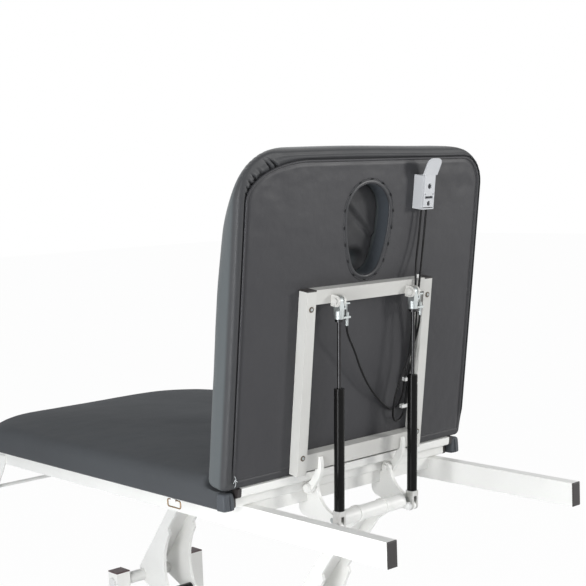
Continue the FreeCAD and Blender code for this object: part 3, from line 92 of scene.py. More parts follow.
class Signal:
    """A value that changes over a surface; arithmetic on it adds Math nodes."""

    def __init__(self, socket):
        self.socket = socket

    def math(self, operation, other, turned=False):
        """A Math node on this value and another, the other one first if turned."""
        tree = self.socket.id_data
        step = tree.nodes.new("ShaderNodeMath")
        step.operation = operation
        first, second = (other, self) if turned else (self, other)
        joined(tree, step.inputs[0], first)
        joined(tree, step.inputs[1], second)
        return Signal(step.outputs[0])

    def __add__(self, other):
        return self.math("ADD", other)

    def __sub__(self, other):
        return self.math("SUBTRACT", other)

    def __mul__(self, other):
        return self.math("MULTIPLY", other)

    def __rsub__(self, other):
        return self.math("SUBTRACT", other, True)

    __radd__ = __add__
    __rmul__ = __mul__

    def above(self, level):
        return self.math("GREATER_THAN", level)


class Finish:
    """One material on a Principled shader, built from named helpers."""

    def __init__(self, name, **shader):
        self.material = bpy.data.materials.new(name)
        self.material.use_nodes = True
        self.tree = self.material.node_tree
        self.shader = self.tree.nodes["Principled BSDF"]
        for title, value in shader.items():
            self.set(title.replace("_", " ").title().replace("Ior", "IOR"), value)

    def set(self, title, value):
        """Gives the shader's socket of that title a value or a signal."""
        joined(self.tree, self.shader.inputs[title], value)

    def add(self, kind, settings=(), values=()):
        """Adds a node, its settings first and then the values or links of its sockets."""
        step = self.tree.nodes.new("ShaderNode" + kind)
        for title, value in dict(settings).items():
            setattr(step, title, value)
        for title, value in dict(values).items():
            joined(self.tree, step.inputs[title], value)
        return step

    def place(self, stretch=(1.0, 1.0, 1.0)):
        """The point in the couch's own frame, scaled by stretch."""
        spot = Signal(self.add("TexCoord").outputs["Object"])
        if stretch == (1.0, 1.0, 1.0):
            return spot
        return Signal(self.add("Mapping", {}, {"Vector": spot, "Scale": stretch}).outputs[0])

    def clouds(self, scale, detail=3.0, roughness=0.5, stretch=(1.0, 1.0, 1.0)):
        """Soft noise, from about 0.3 to 0.7."""
        step = self.add("TexNoise", {}, {"Vector": self.place(stretch), "Scale": scale,
                                         "Detail": detail, "Roughness": roughness})
        return Signal(step.outputs[0])

    def cells(self, scale):
        """Distance from the middle of the nearest cell."""
        step = self.add("TexVoronoi", {"feature": "F1"},
                        {"Vector": self.place(), "Scale": scale})
        return Signal(step.outputs["Distance"])

    def along(self, direction):
        """Distance of a point along a direction from the couch's origin."""
        step = self.add("VectorMath", {"operation": "DOT_PRODUCT"}, {0: self.place()})
        step.inputs[1].default_value = direction
        return Signal(step.outputs["Value"])

    def mix(self, share, first, second):
        """A colour between two colours."""
        step = self.add("Mix", {"data_type": "RGBA"}, {0: share})
        joined(self.tree, step.inputs[6], first)
        joined(self.tree, step.inputs[7], second)
        return Signal(step.outputs[2])

    def fade(self, value, start, end):
        """0 before start and 1 past end, with a soft step between."""
        step = self.add("MapRange", {"interpolation_type": "SMOOTHSTEP"},
                        {"Value": value, "From Min": start, "From Max": end})
        return Signal(step.outputs[0])

    def relief(self, height, strength, distance, under=None):
        """A bumped normal, over the relief under it if there is one."""
        values = {"Height": height, "Strength": strength, "Distance": distance}
        if under is not None:
            values["Normal"] = under
        return Signal(self.add("Bump", {}, values).outputs[0])


def rgb(red, green, blue):
    return (red, green, blue, 1.0)


WHITE_PAINT = rgb(0.87, 0.868, 0.845)
WHITE_PAINT_DULL = rgb(0.79, 0.785, 0.76)
MOULDED_BLACK = rgb(0.030, 0.026, 0.026)
MOULDED_WHITE = rgb(0.74, 0.74, 0.73)
BARE_STEEL = rgb(0.62, 0.62, 0.61)
LIGHT_CHARCOAL = rgb(0.096, 0.109, 0.114)
DEEP_CHARCOAL = rgb(0.088, 0.099, 0.104)
BACK_PLANE = HINGE.dot(TO_FRONT)


def powder_coat(name, light=WHITE_PAINT, dull=WHITE_PAINT_DULL, caps=None):
    """White powder coat with a faint orange peel; caps gives (mask, colour) for its ends."""
    paint = Finish(name, specular_ior_level=0.45)
    worn = paint.fade(paint.clouds(5.0, 5.0, 0.6), 0.35, 0.75)
    colour = paint.mix(worn * 0.6, light, dull)
    specks = paint.fade(paint.clouds(420.0, 2.0), 0.66, 0.74)
    colour = paint.mix(specks * 0.25, colour, rgb(0.5, 0.49, 0.46))
    gloss = paint.clouds(9.0, 4.0) * 0.16 + 0.30
    peel = paint.relief(paint.clouds(700.0, 2.0), 0.05, 0.0006)
    if caps is not None:
        mask, cap_colour = caps(paint)
        colour = paint.mix(mask, colour, cap_colour)
        gloss = gloss + mask * 0.12
    paint.set("Base Color", colour)
    paint.set("Roughness", gloss)
    paint.set("Normal", peel)
    return paint.material


def vinyl(name, light, deep, crease=0.5, rough=0.46, gloss=0.36, back=None):
    """Upholstery vinyl: fine pebble grain, soft pulls in the cover and a low sheen.

    back, if given, is a darker colour painted towards the back of the backrest as painted shade,
    and where it ends.
    """
    cover = Finish(name, specular_ior_level=gloss, sheen_weight=0.05, sheen_roughness=0.5)
    shade = cover.fade(cover.clouds(4.0, 4.0, 0.55), 0.3, 0.7)
    colour = cover.mix(shade, light, deep)
    if back is not None:
        # Painted shade: towards the back of the backrest the colour turns to the darker back
        # colour.
        behind, start, end = back
        depth = cover.fade(cover.along(TO_FRONT), BACK_PLANE + start, BACK_PLANE + end)
        colour = cover.mix(depth, behind, colour)
    pebble = cover.cells(780.0)
    between_pebbles = rgb(*(channel * 0.6 for channel in deep[:3]))
    colour = cover.mix(cover.fade(pebble, 0.0, 0.35) * 0.18, colour, between_pebbles)
    cover.set("Base Color", colour)
    cover.set("Roughness", cover.clouds(14.0, 3.0) * 0.14 + cover.clouds(600.0, 2.0) * 0.08 +
              (rough - 0.11))
    pulls = cover.relief(cover.clouds(11.0, 3.0, 0.55), crease, 0.004)
    grain = cover.relief(pebble * 0.6 + cover.clouds(900.0, 3.0) * 0.4, 0.22, 0.0005, pulls)
    cover.set("Normal", grain)
    return cover.material


def metal(name, colour, roughness, stretch=(1.0, 1.0, 1.0), brushing=0.06, caps=None):
    """Plated or polished steel with fine marks along its length and a little staining."""
    steel = Finish(name)
    stain = steel.fade(steel.clouds(60.0, 4.0), 0.35, 0.75)
    dull = rgb(colour[0] * 0.72, colour[1] * 0.70, colour[2] * 0.66)
    tint = steel.mix(stain * 0.5, colour, dull)
    shine = steel.clouds(240.0, 3.0, 0.5, stretch) * 0.16 + (roughness - 0.06)
    metallic = 1.0
    if caps is not None:
        mask, cap_colour = caps(steel)
        tint = steel.mix(mask, tint, cap_colour)
        metallic = 1.0 - mask
        shine = shine + mask * 0.1
    steel.set("Base Color", tint)
    steel.set("Metallic", metallic)
    steel.set("Roughness", shine)
    steel.set("Normal", steel.relief(steel.clouds(900.0, 2.0, 0.5, stretch), brushing, 0.0004))
    return steel.material


def plastic(name, colour, roughness=0.42, grain=0.08, gloss=0.5):
    """Moulded plastic with a fine spark-eroded texture."""
    shell = Finish(name, specular_ior_level=gloss)
    pale = rgb(*(min(channel * 1.3 + 0.002, 1.0) for channel in colour[:3]))
    shell.set("Base Color", shell.mix(shell.fade(shell.clouds(45.0, 4.0), 0.3, 0.8) * 0.5,
                                      colour, pale))
    shell.set("Roughness", shell.clouds(130.0, 3.0) * 0.14 + (roughness - 0.07))
    shell.set("Normal", shell.relief(shell.clouds(1300.0, 2.0), grain, 0.0004))
    return shell.material


def gloss_paint(name, colour):
    """Wet-looking paint, a little uneven, under a thin clear coat."""
    coat = Finish(name, coat_roughness=0.1, specular_ior_level=0.12)
    coat.set("Coat Weight", coat.clouds(30.0, 3.0) * 0.04)
    coat.set("Base Color", coat.mix(coat.fade(coat.clouds(90.0, 4.0), 0.4, 0.8) * 0.5, colour,
                                    rgb(colour[0] * 1.7, colour[1] * 1.6, colour[2] * 1.5)))
    coat.set("Roughness", coat.clouds(300.0, 2.0) * 0.08 + 0.13)
    coat.set("Normal", coat.relief(coat.clouds(800.0, 2.0), 0.03, 0.0004))
    return coat.material


def wide_ends(limit, colour):
    """Both ends of a cross piece, past a distance from the middle."""
    def mask(finish):
        side = finish.along((0.0, 1.0, 0.0))
        return (side * side).above(limit * limit), colour
    return mask


def past(direction, limit, colour):
    """Everything further along a direction than a limit."""
    def mask(finish):
        return finish.along(direction).above(limit), colour
    return mask


BAR_PLUG_START = 0.318
POST_TOP = 0.3477
POST_CAP_HEIGHT = 3.2 * MM
POST_CAP_BROWN = rgb(0.09, 0.055, 0.06)
UPRIGHT_CAP_START = 0.4288
AXLE_CAP_START = 0.1381
LEFT_PIN_CAP = -0.1215
RIGHT_PIN_CAP = 0.1025

# VINYL turns darker towards the back of the backrest with its back colour: painted shade on the
# cushion's rear and top edge.
VINYL = vinyl("charcoal_vinyl", LIGHT_CHARCOAL, DEEP_CHARCOAL, 0.5, 0.48, 0.32,
              (rgb(0.038, 0.038, 0.041), 0.010, 0.021))
VINYL_SEAT = vinyl("seat_vinyl", rgb(0.080, 0.085, 0.091), rgb(0.074, 0.078, 0.083), 0.6, 0.68,
                   0.02)
# The rear board has the cushion's vinyl in a much darker colour: painted shade on the backrest's
# rear face.
VINYL_BACK_SHADED = vinyl("charcoal_vinyl_back_painted_shade", rgb(0.037, 0.037, 0.041), rgb(0.032, 0.032, 0.036),
                   0.7)
VINYL_FOLD = vinyl("fold_vinyl", rgb(0.068, 0.075, 0.085), rgb(0.062, 0.069, 0.078), 0.4, 0.5,
                   0.3)
# The hole lining and the plug turn darker towards the back of the backrest: painted shade on the
# rim and in the recess of the face hole.
VINYL_SMOOTH = vinyl("hole_vinyl", rgb(0.064, 0.073, 0.084), rgb(0.056, 0.064, 0.074), 0.1, 0.34,
                     0.36, (rgb(0.034, 0.034, 0.037), 0.0006, 0.0045))
VINYL_PLUG = vinyl("plug_vinyl", LIGHT_CHARCOAL, DEEP_CHARCOAL, 0.6, 0.54, 0.2,
                   (rgb(0.050, 0.049, 0.052), 0.046, 0.058))
DARK_CUP = plastic("screw_washer", rgb(0.11, 0.085, 0.06), 0.5)
PALE_THREAD = plastic("pale_thread", rgb(0.62, 0.65, 0.66), 0.6)
PAINT = powder_coat("white_powder_coat")
PAINT_BAR = powder_coat("white_bar", caps=wide_ends(BAR_PLUG_START, MOULDED_BLACK))
PAINT_LEVER = powder_coat("pale_grey_lever", rgb(0.58, 0.59, 0.61), rgb(0.52, 0.53, 0.55))
ZINC = metal("zinc_plate", rgb(0.44, 0.47, 0.475), 0.5)
# The chrome rods have a near-black metal colour: painted dark reflection, standing for dark
# surroundings that the polished rods mirror.
ROD_DARK_REFLECTION_STEEL = metal("polished_rod_painted_dark_reflection", rgb(0.045, 0.045, 0.047), 0.14, (0.1, 0.1, 1.0), 0.03)
BLACK_GLOSS = gloss_paint("black_spring_paint", rgb(0.004, 0.004, 0.004))
BLACK_PLASTIC = plastic("black_plastic", MOULDED_BLACK)
WHITE_PLASTIC = plastic("white_plastic", MOULDED_WHITE, 0.36)
RUBBER = plastic("black_rubber", rgb(0.022, 0.022, 0.022), 0.62, 0.2)
SHEATH = plastic("cable_sheath", rgb(0.003, 0.003, 0.0035), 0.3, 0.02, 0.22)
BRONZE = metal("bronze_wire", rgb(0.34, 0.24, 0.15), 0.36)
THREAD = plastic("seam_thread", rgb(0.006, 0.006, 0.007), 0.6, 0.3, 0.15)


def left_of(limit):
    """The white cap on a fork's pin: everything further left than a place across the couch."""
    return past((0.0, -1.0, 0.0), -limit, MOULDED_WHITE)


def paint_nodes(material, *names):
    """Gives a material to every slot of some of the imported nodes."""
    for name in names:
        for slot in frame["nodes"][name].material_slots:
            slot.material = material


FINISH_OF = {
    "frame_paint": PAINT, "rubber": RUBBER, "bright_steel": ZINC, "chrome": ROD_DARK_REFLECTION_STEEL,
    "dark_plastic": BLACK_PLASTIC, "cable_sheath": SHEATH, "ring_wire": BRONZE,
    "black_paint": BLACK_GLOSS, "vinyl": VINYL,
}
for row in frame["record"]["subparts"]:
    paint_nodes(FINISH_OF[row["material_slot"]], row["node"])

POST_PAINT = powder_coat("post_paint", caps=past((0.0, 0.0, 1.0), POST_TOP - POST_CAP_HEIGHT,
                                                 POST_CAP_BROWN))
# The uprights have the white powder coat in a greyer colour: painted shade. Their black caps are
# real.
UPRIGHT_SHADED_PAINT = powder_coat("upright_shaded_paint", rgb(0.63, 0.625, 0.60), rgb(0.57, 0.565, 0.54),
                            past(UP_BACK, HINGE.dot(UP_BACK) + UPRIGHT_CAP_START,
                                 MOULDED_BLACK))
# The crossbars and clevises have the white powder coat in a greyer colour: painted shade.
CROSSBAR_SHADED_PAINT = powder_coat("crossbar_shaded_paint", rgb(0.60, 0.595, 0.57), rgb(0.55, 0.545, 0.52))
for end in ("head", "foot"):
    for side in ("left", "right"):
        paint_nodes(POST_PAINT, "post_" + end + "_" + side)
paint_nodes(UPRIGHT_SHADED_PAINT, "back_upright_left", "back_upright_right")
paint_nodes(CROSSBAR_SHADED_PAINT, "back_crossbar_upper", "back_crossbar_lower", "clevis_left",
            "clevis_right")
paint_nodes(PAINT_BAR, "seat_end_bar", "back_end_bar")
paint_nodes(PAINT_LEVER, "release_lever", "lever_bracket")
paint_nodes(metal("base_axle_steel", BARE_STEEL, 0.34,
                  caps=wide_ends(AXLE_CAP_START, MOULDED_WHITE)),
            "base_axle_head", "base_axle_foot")
paint_nodes(metal("left_fork_steel", BARE_STEEL, 0.34, caps=left_of(LEFT_PIN_CAP)),
            "strut_fork_left")
paint_nodes(metal("right_fork_steel", BARE_STEEL, 0.34, caps=left_of(RIGHT_PIN_CAP)),
            "strut_fork_right")


# Upholstery

EDGE_SHARES = ((0.0, 0.26), (0.05, 0.15), (0.12, 0.07), (0.2, 0.025), (0.3, 0.0), (0.42, 0.0),
               (0.54, 0.008), (0.64, 0.03), (0.72, 0.075), (0.79, 0.145), (0.855, 0.25),
               (0.91, 0.38), (0.955, 0.55), (0.985, 0.76), (1.0, 1.0))
SMALL_STEPS = 4
CROWN_FULLNESS = 3.6
SIDE_PULL = 1.2 * MM
SWELL_STEPS = 20
SWELL_LIMIT = 3.5 * MM
GATHER_REACH = 30.0 * MM
SEAT_GATHER_DEPTH = 1.7 * MM
BACK_GATHER_DEPTH = 2.0 * MM


def ease(value, start, end):
    """0 before start and 1 past end, with a soft step between."""
    share = min(max((value - start) / (end - start), 0.0), 1.0)
    return share * share * (3 - 2 * share)


def ring_place(long, wide, index):
    """Side and share of a point on the border of a grid, counted round from its low corner."""
    for side, count in enumerate((long, wide, long, wide)):
        if index < count:
            return side, index / count
        index -= count
    return 0, 0.0


def grid_ring(column, row, long, wide):
    """Ring, side and share of a grid point."""
    ring = min(column, row, long - column, wide - row)
    inner_long, inner_wide = long - 2 * ring, wide - 2 * ring
    if row == ring and inner_long > 0:
        return ring, 0, (column - ring) / inner_long
    if column == long - ring and inner_wide > 0:
        return ring, 1, (row - ring) / inner_wide
    if row == wide - ring and inner_long > 0:
        return ring, 2, 1 - (column - ring) / inner_long
    if inner_wide > 0:
        return ring, 3, 1 - (row - ring) / inner_wide
    return ring, 0, 0.0


class PadForm:
    """The plan of a cushion or board: its ends, rounded corners and the grid of its cover."""

    def __init__(self, low, high, corners, bottom, corner_steps, long, wide, edge=SOFT_EDGE):
        self.low, self.high, self.corners, self.bottom = low, high, corners, bottom
        self.long, self.wide, self.edge = long, wide, edge
        self.steps = [corner_steps if radius > HINGE_CORNER else SMALL_STEPS
                      for radius in corners]
        self.middle = min(long, wide) // 2
        self.reach = min(high - low, 2 * HALF_WIDTH) / 2

    def rim(self, box, radii, side, share):
        """A point on a box with elliptic corners; sides 0 to 3 run round from y low."""
        x0, x1, y0, y1 = box
        along = [min(radius[0], (x1 - x0) / 2) for radius in radii]
        across = [min(radius[1], (y1 - y0) / 2) for radius in radii]
        centres = ((x0 + along[0], y0 + across[0]), (x1 - along[1], y0 + across[1]),
                   (x1 - along[2], y1 - across[2]), (x0 + along[3], y1 - across[3]))
        count = (self.long, self.wide)[side % 2]
        following = (side + 1) % 4
        start_share = self.steps[side] / count
        end_share = self.steps[following] / count
        heading = (side - 1) * math.pi / 2

        def arc(corner, angle):
            return Vector((centres[corner][0] + along[corner] * math.cos(angle),
                           centres[corner][1] + across[corner] * math.sin(angle), 0.0))

        if share < start_share:
            return arc(side, heading - math.pi / 4 * (1 - share / start_share))
        if share > 1 - end_share:
            turned = math.pi / 4 * (share - 1 + end_share) / end_share
            return arc(following, heading + turned)
        between = (share - start_share) / (1 - start_share - end_share)
        return arc(side, heading).lerp(arc(following, heading), between)

    def outline(self, inset, side, share, rise=0.0):
        """A point on the outline drawn in by inset.

        The big corners grow rounder from the board, rise 0, to the face of the pad, rise 1.
        """
        half = HALF_WIDTH - inset
        radii = []
        for radius in self.corners:
            if radius > HINGE_CORNER:
                radius += CORNER_GROWTH * rise
            fitted = min(max(radius - inset * 0.5, radius * 0.4), max(half, 0.0))
            radii.append((fitted, fitted))
        box = (self.low + inset, self.high - inset, -half, half)
        return self.rim(box, radii, side, share)

    def layer(self, place):
        """The grid's points from place(ring, side, share) and the indexes of its border."""
        points = []
        for row in range(self.wide + 1):
            for column in range(self.long + 1):
                points.append(place(*grid_ring(column, row, self.long, self.wide)))
        step = self.long + 1
        border = list(range(self.long))
        border += [self.long + row * step for row in range(self.wide)]
        border += [self.wide * step + self.long - column for column in range(self.long)]
        border += [(self.wide - row) * step for row in range(self.wide)]
        return points, border

    def quads(self, first, turned):
        """The faces of a layer that starts at index first."""
        step = self.long + 1
        faces = []
        for row in range(self.wide):
            for column in range(self.long):
                corner = first + row * step + column
                quad = (corner, corner + 1, corner + step + 1, corner + step)
                faces.append(tuple(reversed(quad)) if turned else quad)
        return faces

    def border_ring(self, place):
        """A ring of points from place(side, share), one to each border point of a layer."""
        total = 2 * (self.long + self.wide)
        return [place(*ring_place(self.long, self.wide, index)) for index in range(total)]


def crown_height(inset, edge):
    """How far the crown has risen at a distance from the edge."""
    share = min(max((inset - edge) / (HALF_WIDTH - edge), 0.0), 1.0)
    return PAD_CROWN * (1 - (1 - share) ** CROWN_FULLNESS)


def new_piece(name, points, faces):
    """A mesh object from its points and faces."""
    mesh = bpy.data.meshes.new(name)
    mesh.from_pydata(points, [], faces)
    mesh.update()
    piece = bpy.data.objects.new(name, mesh)
    bpy.context.scene.collection.objects.link(piece)
    return piece


def band(lower, upper):
    """Faces between two rings of equally many indexes."""
    count = len(lower)
    return [(lower[index], lower[(index + 1) % count], upper[(index + 1) % count], upper[index])
            for index in range(count)]


def make_pad(name, form, base_place):
    """A cushion's closed cover, crowned above and shaped below by base_place."""

    def top_place(ring, side, share):
        inset = form.edge + (form.reach - form.edge) * ring / form.middle
        spot = form.outline(inset, side, share, 1.0)
        spot.z = form.bottom + PAD_THICKNESS + crown_height(inset, form.edge)
        return spot

    points, top_border = form.layer(top_place)
    faces = form.quads(0, False)
    first = len(points)
    base, base_border = form.layer(base_place)
    points += base
    faces += form.quads(first, True)
    rings = [[first + index for index in base_border]]
    for height_share, inset_share in EDGE_SHARES[1:-1]:

        def side_place(side, share):
            pull = SIDE_PULL * math.sin(math.pi * share) * math.sin(math.pi * height_share)
            spot = form.outline(form.edge * inset_share + pull, side, share, height_share)
            spot.z = form.bottom + PAD_THICKNESS * height_share
            return spot

        first = len(points)
        points += form.border_ring(side_place)
        rings.append(list(range(first, len(points))))
    rings.append(top_border)
    for lower, upper in zip(rings, rings[1:]):
        faces += band(lower, upper)
    return new_piece(name, points, faces)


def swell(pad, is_held, pressure=4.0):
    """Air pressure rounds the cover with cloth simulation; held points stay where they are."""
    mesh = pad.data
    before = [vertex.co.copy() for vertex in mesh.vertices]
    group = pad.vertex_groups.new(name="held")
    group.add([vertex.index for vertex in mesh.vertices if is_held(vertex.co)], 1.0, "REPLACE")
    cloth = pad.modifiers.new("cover", "CLOTH")
    cloth.settings.quality = 4
    cloth.settings.mass = 0.4
    cloth.settings.tension_stiffness = 20
    cloth.settings.compression_stiffness = 20
    cloth.settings.shear_stiffness = 10
    cloth.settings.bending_stiffness = 1.0
    cloth.settings.use_pressure = True
    cloth.settings.uniform_pressure_force = pressure
    cloth.settings.vertex_group_mass = group.name
    cloth.settings.effector_weights.gravity = 0.0
    cloth.point_cache.frame_end = SWELL_STEPS
    for step in range(1, SWELL_STEPS + 1):
        bpy.context.scene.frame_set(step)
    settled = pad.evaluated_get(bpy.context.evaluated_depsgraph_get()).data
    after = [vertex.co.copy() for vertex in settled.vertices]
    pad.modifiers.remove(cloth)
    pad.vertex_groups.remove(group)
    bpy.context.scene.frame_set(1)
    for vertex, old, new in zip(mesh.vertices, before, after):
        move = new - old
        if move.length > SWELL_LIMIT:
            move.length = SWELL_LIMIT
        vertex.co = old + move


def puckers(spot, form, depth, count, end):
    """How far the gathers at a rounded corner draw the side of a cover in at a point."""
    if end == "high":
        x_centre = form.high - CUSHION_CORNER
        x_past = spot.x - x_centre
    else:
        x_centre = form.low + CUSHION_CORNER
        x_past = x_centre - spot.x
    arm = Vector((spot.x - x_centre, abs(spot.y) - HALF_WIDTH + CUSHION_CORNER, 0.0))
    if x_past <= 0 or arm.y < 0 or arm.length < CUSHION_CORNER * 0.6:
        return Vector((0.0, 0.0, 0.0))
    share = abs(math.atan2(arm.y, abs(arm.x))) / (math.pi / 2)
    wander = noise.noise(Vector((share * 7.0, 0.0, 3.1))) * 0.06
    fold = max(math.cos((share + wander) * math.pi * 2 * count), 0.0) ** 2
    fade_up = 1 - ease(spot.z - form.bottom, GATHER_REACH * 0.25, GATHER_REACH)
    fade_side = ease(share, 0.04, 0.16) * (1 - ease(share, 0.84, 0.96))
    arm.normalize()
    inward = Vector((arm.x, arm.y * (1 if spot.y > 0 else -1), 0.0))
    return inward * (-depth * fold * fade_up * fade_side)


def flat_place(spot):
    """A point's plan, so that a ripple reads the same over its height."""
    return Vector((spot.x, spot.y, 0.0))


def ripple(spot, size, depth, seed):
    """A slow unevenness of a cover: waves of about a size, up to a depth either way."""
    return noise.noise(Vector((spot.x / size, spot.y / size, spot.z / size + seed))) * depth


def only(piece):
    """Selects one piece and makes it active."""
    bpy.ops.object.select_all(action="DESELECT")
    piece.select_set(True)
    bpy.context.view_layer.objects.active = piece


def finish_piece(piece, material, body, smooth):
    """Shades a made piece, gives it its material and lets it ride on its body."""
    only(piece)
    bpy.ops.object.shade_smooth_by_angle(angle=math.radians(smooth))
    piece.data.materials.clear()
    piece.data.materials.append(material)
    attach(piece, body)
    piece.select_set(False)
    return piece


SEAT_RELIEF_HEIGHT = 0.0393
SEAT_RELIEF_SLOPE = 0.137
SEAT_RELIEF_START = (-0.4535, -0.4500)
SEAT_NOTCH = (-0.4123, 0.0257)
BACK_NOTCH = (0.0363, 0.0143)
HEAD_NARROWING = 10.0 * MM
RIGHT_FULLNESS = 6.5 * MM
TOP_WAVE = 1.3 * MM
SEAT = PadForm(-1.420, -0.404, (CUSHION_CORNER, HINGE_CORNER, HINGE_CORNER, CUSHION_CORNER),
               0.0008, 18, 150, 92, 0.034)
BACK = PadForm(0.032, 0.716, (HINGE_CORNER, CUSHION_CORNER, CUSHION_CORNER, HINGE_CORNER),
               0.0012, 56, 120, 150)


def seat_place(spot):
    """A point of the seat, from the rails' head end and top, in the couch's frame."""
    return Vector((spot.x + HEAD_END, spot.y, spot.z + RAIL_TOP))


def back_place(spot):
    """A point of the backrest, from its hinge, in the couch's frame."""
    return on_back(spot.x, spot.y, spot.z)


def keep_off_bar(spot, notch, outwards):
    """Moves a point out of the notch that clears the end bar: its place and its height."""
    place, height = notch
    if spot.z < height and abs(spot.y) < BAR_HALF and (spot.x - place) * outwards > 0:
        spot.x = place


def make_seat():
    """The seat's cushion, pressed down where the backrest comes over it."""
    base_inset = SEAT.edge * EDGE_SHARES[0][1]

    def flat_base(ring, side, share):
        inset = base_inset + (SEAT.reach - base_inset) * ring / SEAT.middle
        spot = SEAT.outline(inset, side, share)
        spot.z = SEAT.bottom
        return spot

    pad = make_pad("seat_pad", SEAT, flat_base)
    swell(pad, lambda spot: spot.z < 0.008 or spot.x > -0.455)
    for vertex in pad.data.vertices:
        spot = vertex.co
        spot += puckers(spot, SEAT, SEAT_GATHER_DEPTH, 8, "low")
        if spot.z > 0.05:
            spot.z += ripple(spot, 0.11, 1.1 * MM, 0.0) + ripple(spot, 0.04, 0.35 * MM, 5.0)
        relief = SEAT_RELIEF_HEIGHT + (SEAT.high - spot.x) * SEAT_RELIEF_SLOPE
        pressed = min(spot.z, relief)
        spot.z = spot.z + (pressed - spot.z) * ease(spot.x, *SEAT_RELIEF_START)
        keep_off_bar(spot, SEAT_NOTCH, 1)
        vertex.co = seat_place(spot)
    finish_piece(pad, VINYL_SEAT, "upper_frame", 60)
    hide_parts("seat_cushion")


FOLD_BOX = (0.3100, 0.3366, 0.3312, 0.3606)
FOLD_TUCKS = ((0.3125, FOLD_BOX[3]), (FOLD_BOX[1], 0.3440))
FOLD_HEIGHTS_AND_INSETS = ((0.6762, 0.0040), (0.6758, 0.0014), (0.6764, 0.0004), (0.6800, 0.0),
                           (0.6880, 0.0002), (0.6960, 0.0004), (0.7040, 0.0008),
                           (0.7088, 0.0020), (0.7108, 0.0042))
FOLD_POINTS = 192
FOLD_SQUARENESS = 5
TUCK_DEPTH = 4.2 * MM
TUCK_WIDTH = 0.9 * MM
TUCK_SWELL = 1.0 * MM
TUCK_SWELL_PLACE = 3.5 * MM
TUCK_SWELL_WIDTH = 2.0 * MM


def make_corner_fold(side, sign):
    """The cover folded over the seat's corner at the hinge, with two tucks."""
    x0, x1, y0, y1 = FOLD_BOX
    x_middle, y_middle = (x0 + x1) / 2, (y0 + y1) / 2
    rings = []
    for height, inset in FOLD_HEIGHTS_AND_INSETS:
        ring = []
        for index in range(FOLD_POINTS):
            angle = index / FOLD_POINTS * math.tau
            lean, rise = math.cos(angle), math.sin(angle)
            reach = (abs(lean) ** FOLD_SQUARENESS +
                     abs(rise) ** FOLD_SQUARENESS) ** (-1 / FOLD_SQUARENESS)
            spot = Vector((x_middle + reach * lean * ((x1 - x0) / 2 - inset),
                           y_middle + reach * rise * ((y1 - y0) / 2 - inset), height))
            for tuck_x, tuck_y in FOLD_TUCKS:
                gap = math.hypot(spot.x - tuck_x, spot.y - tuck_y)
                inward = Vector((x_middle - spot.x, y_middle - spot.y, 0.0)).normalized()
                spot += inward * TUCK_DEPTH * math.exp(-(gap / TUCK_WIDTH) ** 2)
                swelling = (gap - TUCK_SWELL_PLACE) / TUCK_SWELL_WIDTH
                spot -= inward * TUCK_SWELL * math.exp(-swelling ** 2)
            spot.y *= sign
            ring.append(spot)
        rings.append(ring)
    fold = loft("seat_corner_fold_" + side, rings, lambda spot: spot, (True, True))
    finish_piece(fold, VINYL_FOLD, "upper_frame", 50)


HOLE_HALF_WIDTH = 0.064
HOLE_TIP_RADIUS = 0.047
HOLE_WIDE_PLACE = 0.577
HOLE_TIP_PLACE = 0.493
HOLE_PLAY = 0.8 * MM


def egg_ring(spare, count=96):
    """Points of the face hole's outline, moved outwards by a spare width."""
    half, tip = HOLE_HALF_WIDTH + spare, HOLE_TIP_RADIUS + spare
    wide, middle = HOLE_WIDE_PLACE, HOLE_TIP_PLACE
    fall = wide - middle
    bend = (fall ** 2 / (half - tip) + half + tip) / 2
    lean = math.atan2(bend - half, fall)
    arcs = ((wide, 0.0, half, 0.0, math.pi / 2),
            (wide, half - bend, bend, math.pi / 2, math.pi - lean),
            (middle, 0.0, tip, math.pi - lean, math.pi))
    lengths = [radius * (end - start) for x, y, radius, start, end in arcs]
    total = sum(lengths)
    upper = []
    for index in range(count // 2):
        reach = total * (index + 0.5) / (count // 2)
        for (x, y, radius, start, end), length in zip(arcs, lengths):
            if reach <= length:
                angle = start + reach / radius
                upper.append(Vector((x + radius * math.cos(angle),
                                     y + radius * math.sin(angle), 0.0)))
                break
            reach -= length
    return upper + [Vector((spot.x, -spot.y, 0.0)) for spot in reversed(upper)]


def loft(name, rings, place, closed_ends=(False, False), joined_ends=False):
    """A skin over rings of equally many points; its ends stay open, are filled or are joined."""
    points = [place(spot) for ring in rings for spot in ring]
    count = len(rings[0])
    starts = [list(range(level * count, (level + 1) * count)) for level in range(len(rings))]
    faces = []
    for lower, upper in zip(starts, starts[1:] + starts[:1] if joined_ends else starts[1:]):
        faces += band(lower, upper)
    if closed_ends[0]:
        faces.append(tuple(reversed(starts[0])))
    if closed_ends[1]:
        faces.append(tuple(starts[-1]))
    skin = new_piece(name, points, faces)
    turn_outwards(skin)
    return skin


def turn_outwards(piece):
    """Turns a closed piece's faces outwards."""
    only(piece)
    bpy.ops.object.mode_set(mode="EDIT")
    bpy.ops.mesh.select_all(action="SELECT")
    bpy.ops.mesh.normals_make_consistent(inside=False)
    bpy.ops.object.mode_set(mode="OBJECT")


def lifted(ring, height):
    """A copy of a ring at a height."""
    return [Vector((spot.x, spot.y, height)) for spot in ring]


def cut_hole(piece):
    """Cuts the face hole through a piece that is in the couch's frame."""
    outline = egg_ring(HOLE_PLAY)
    drill = loft("hole_drill", [lifted(outline, -0.03), lifted(outline, 0.12)], back_place,
                 (True, True))
    only(piece)
    opening = piece.modifiers.new("opening", "BOOLEAN")
    opening.operation = "DIFFERENCE"
    opening.solver = "EXACT"
    opening.object = drill
    bpy.ops.object.modifier_apply(modifier=opening.name)
    bpy.data.objects.remove(drill)


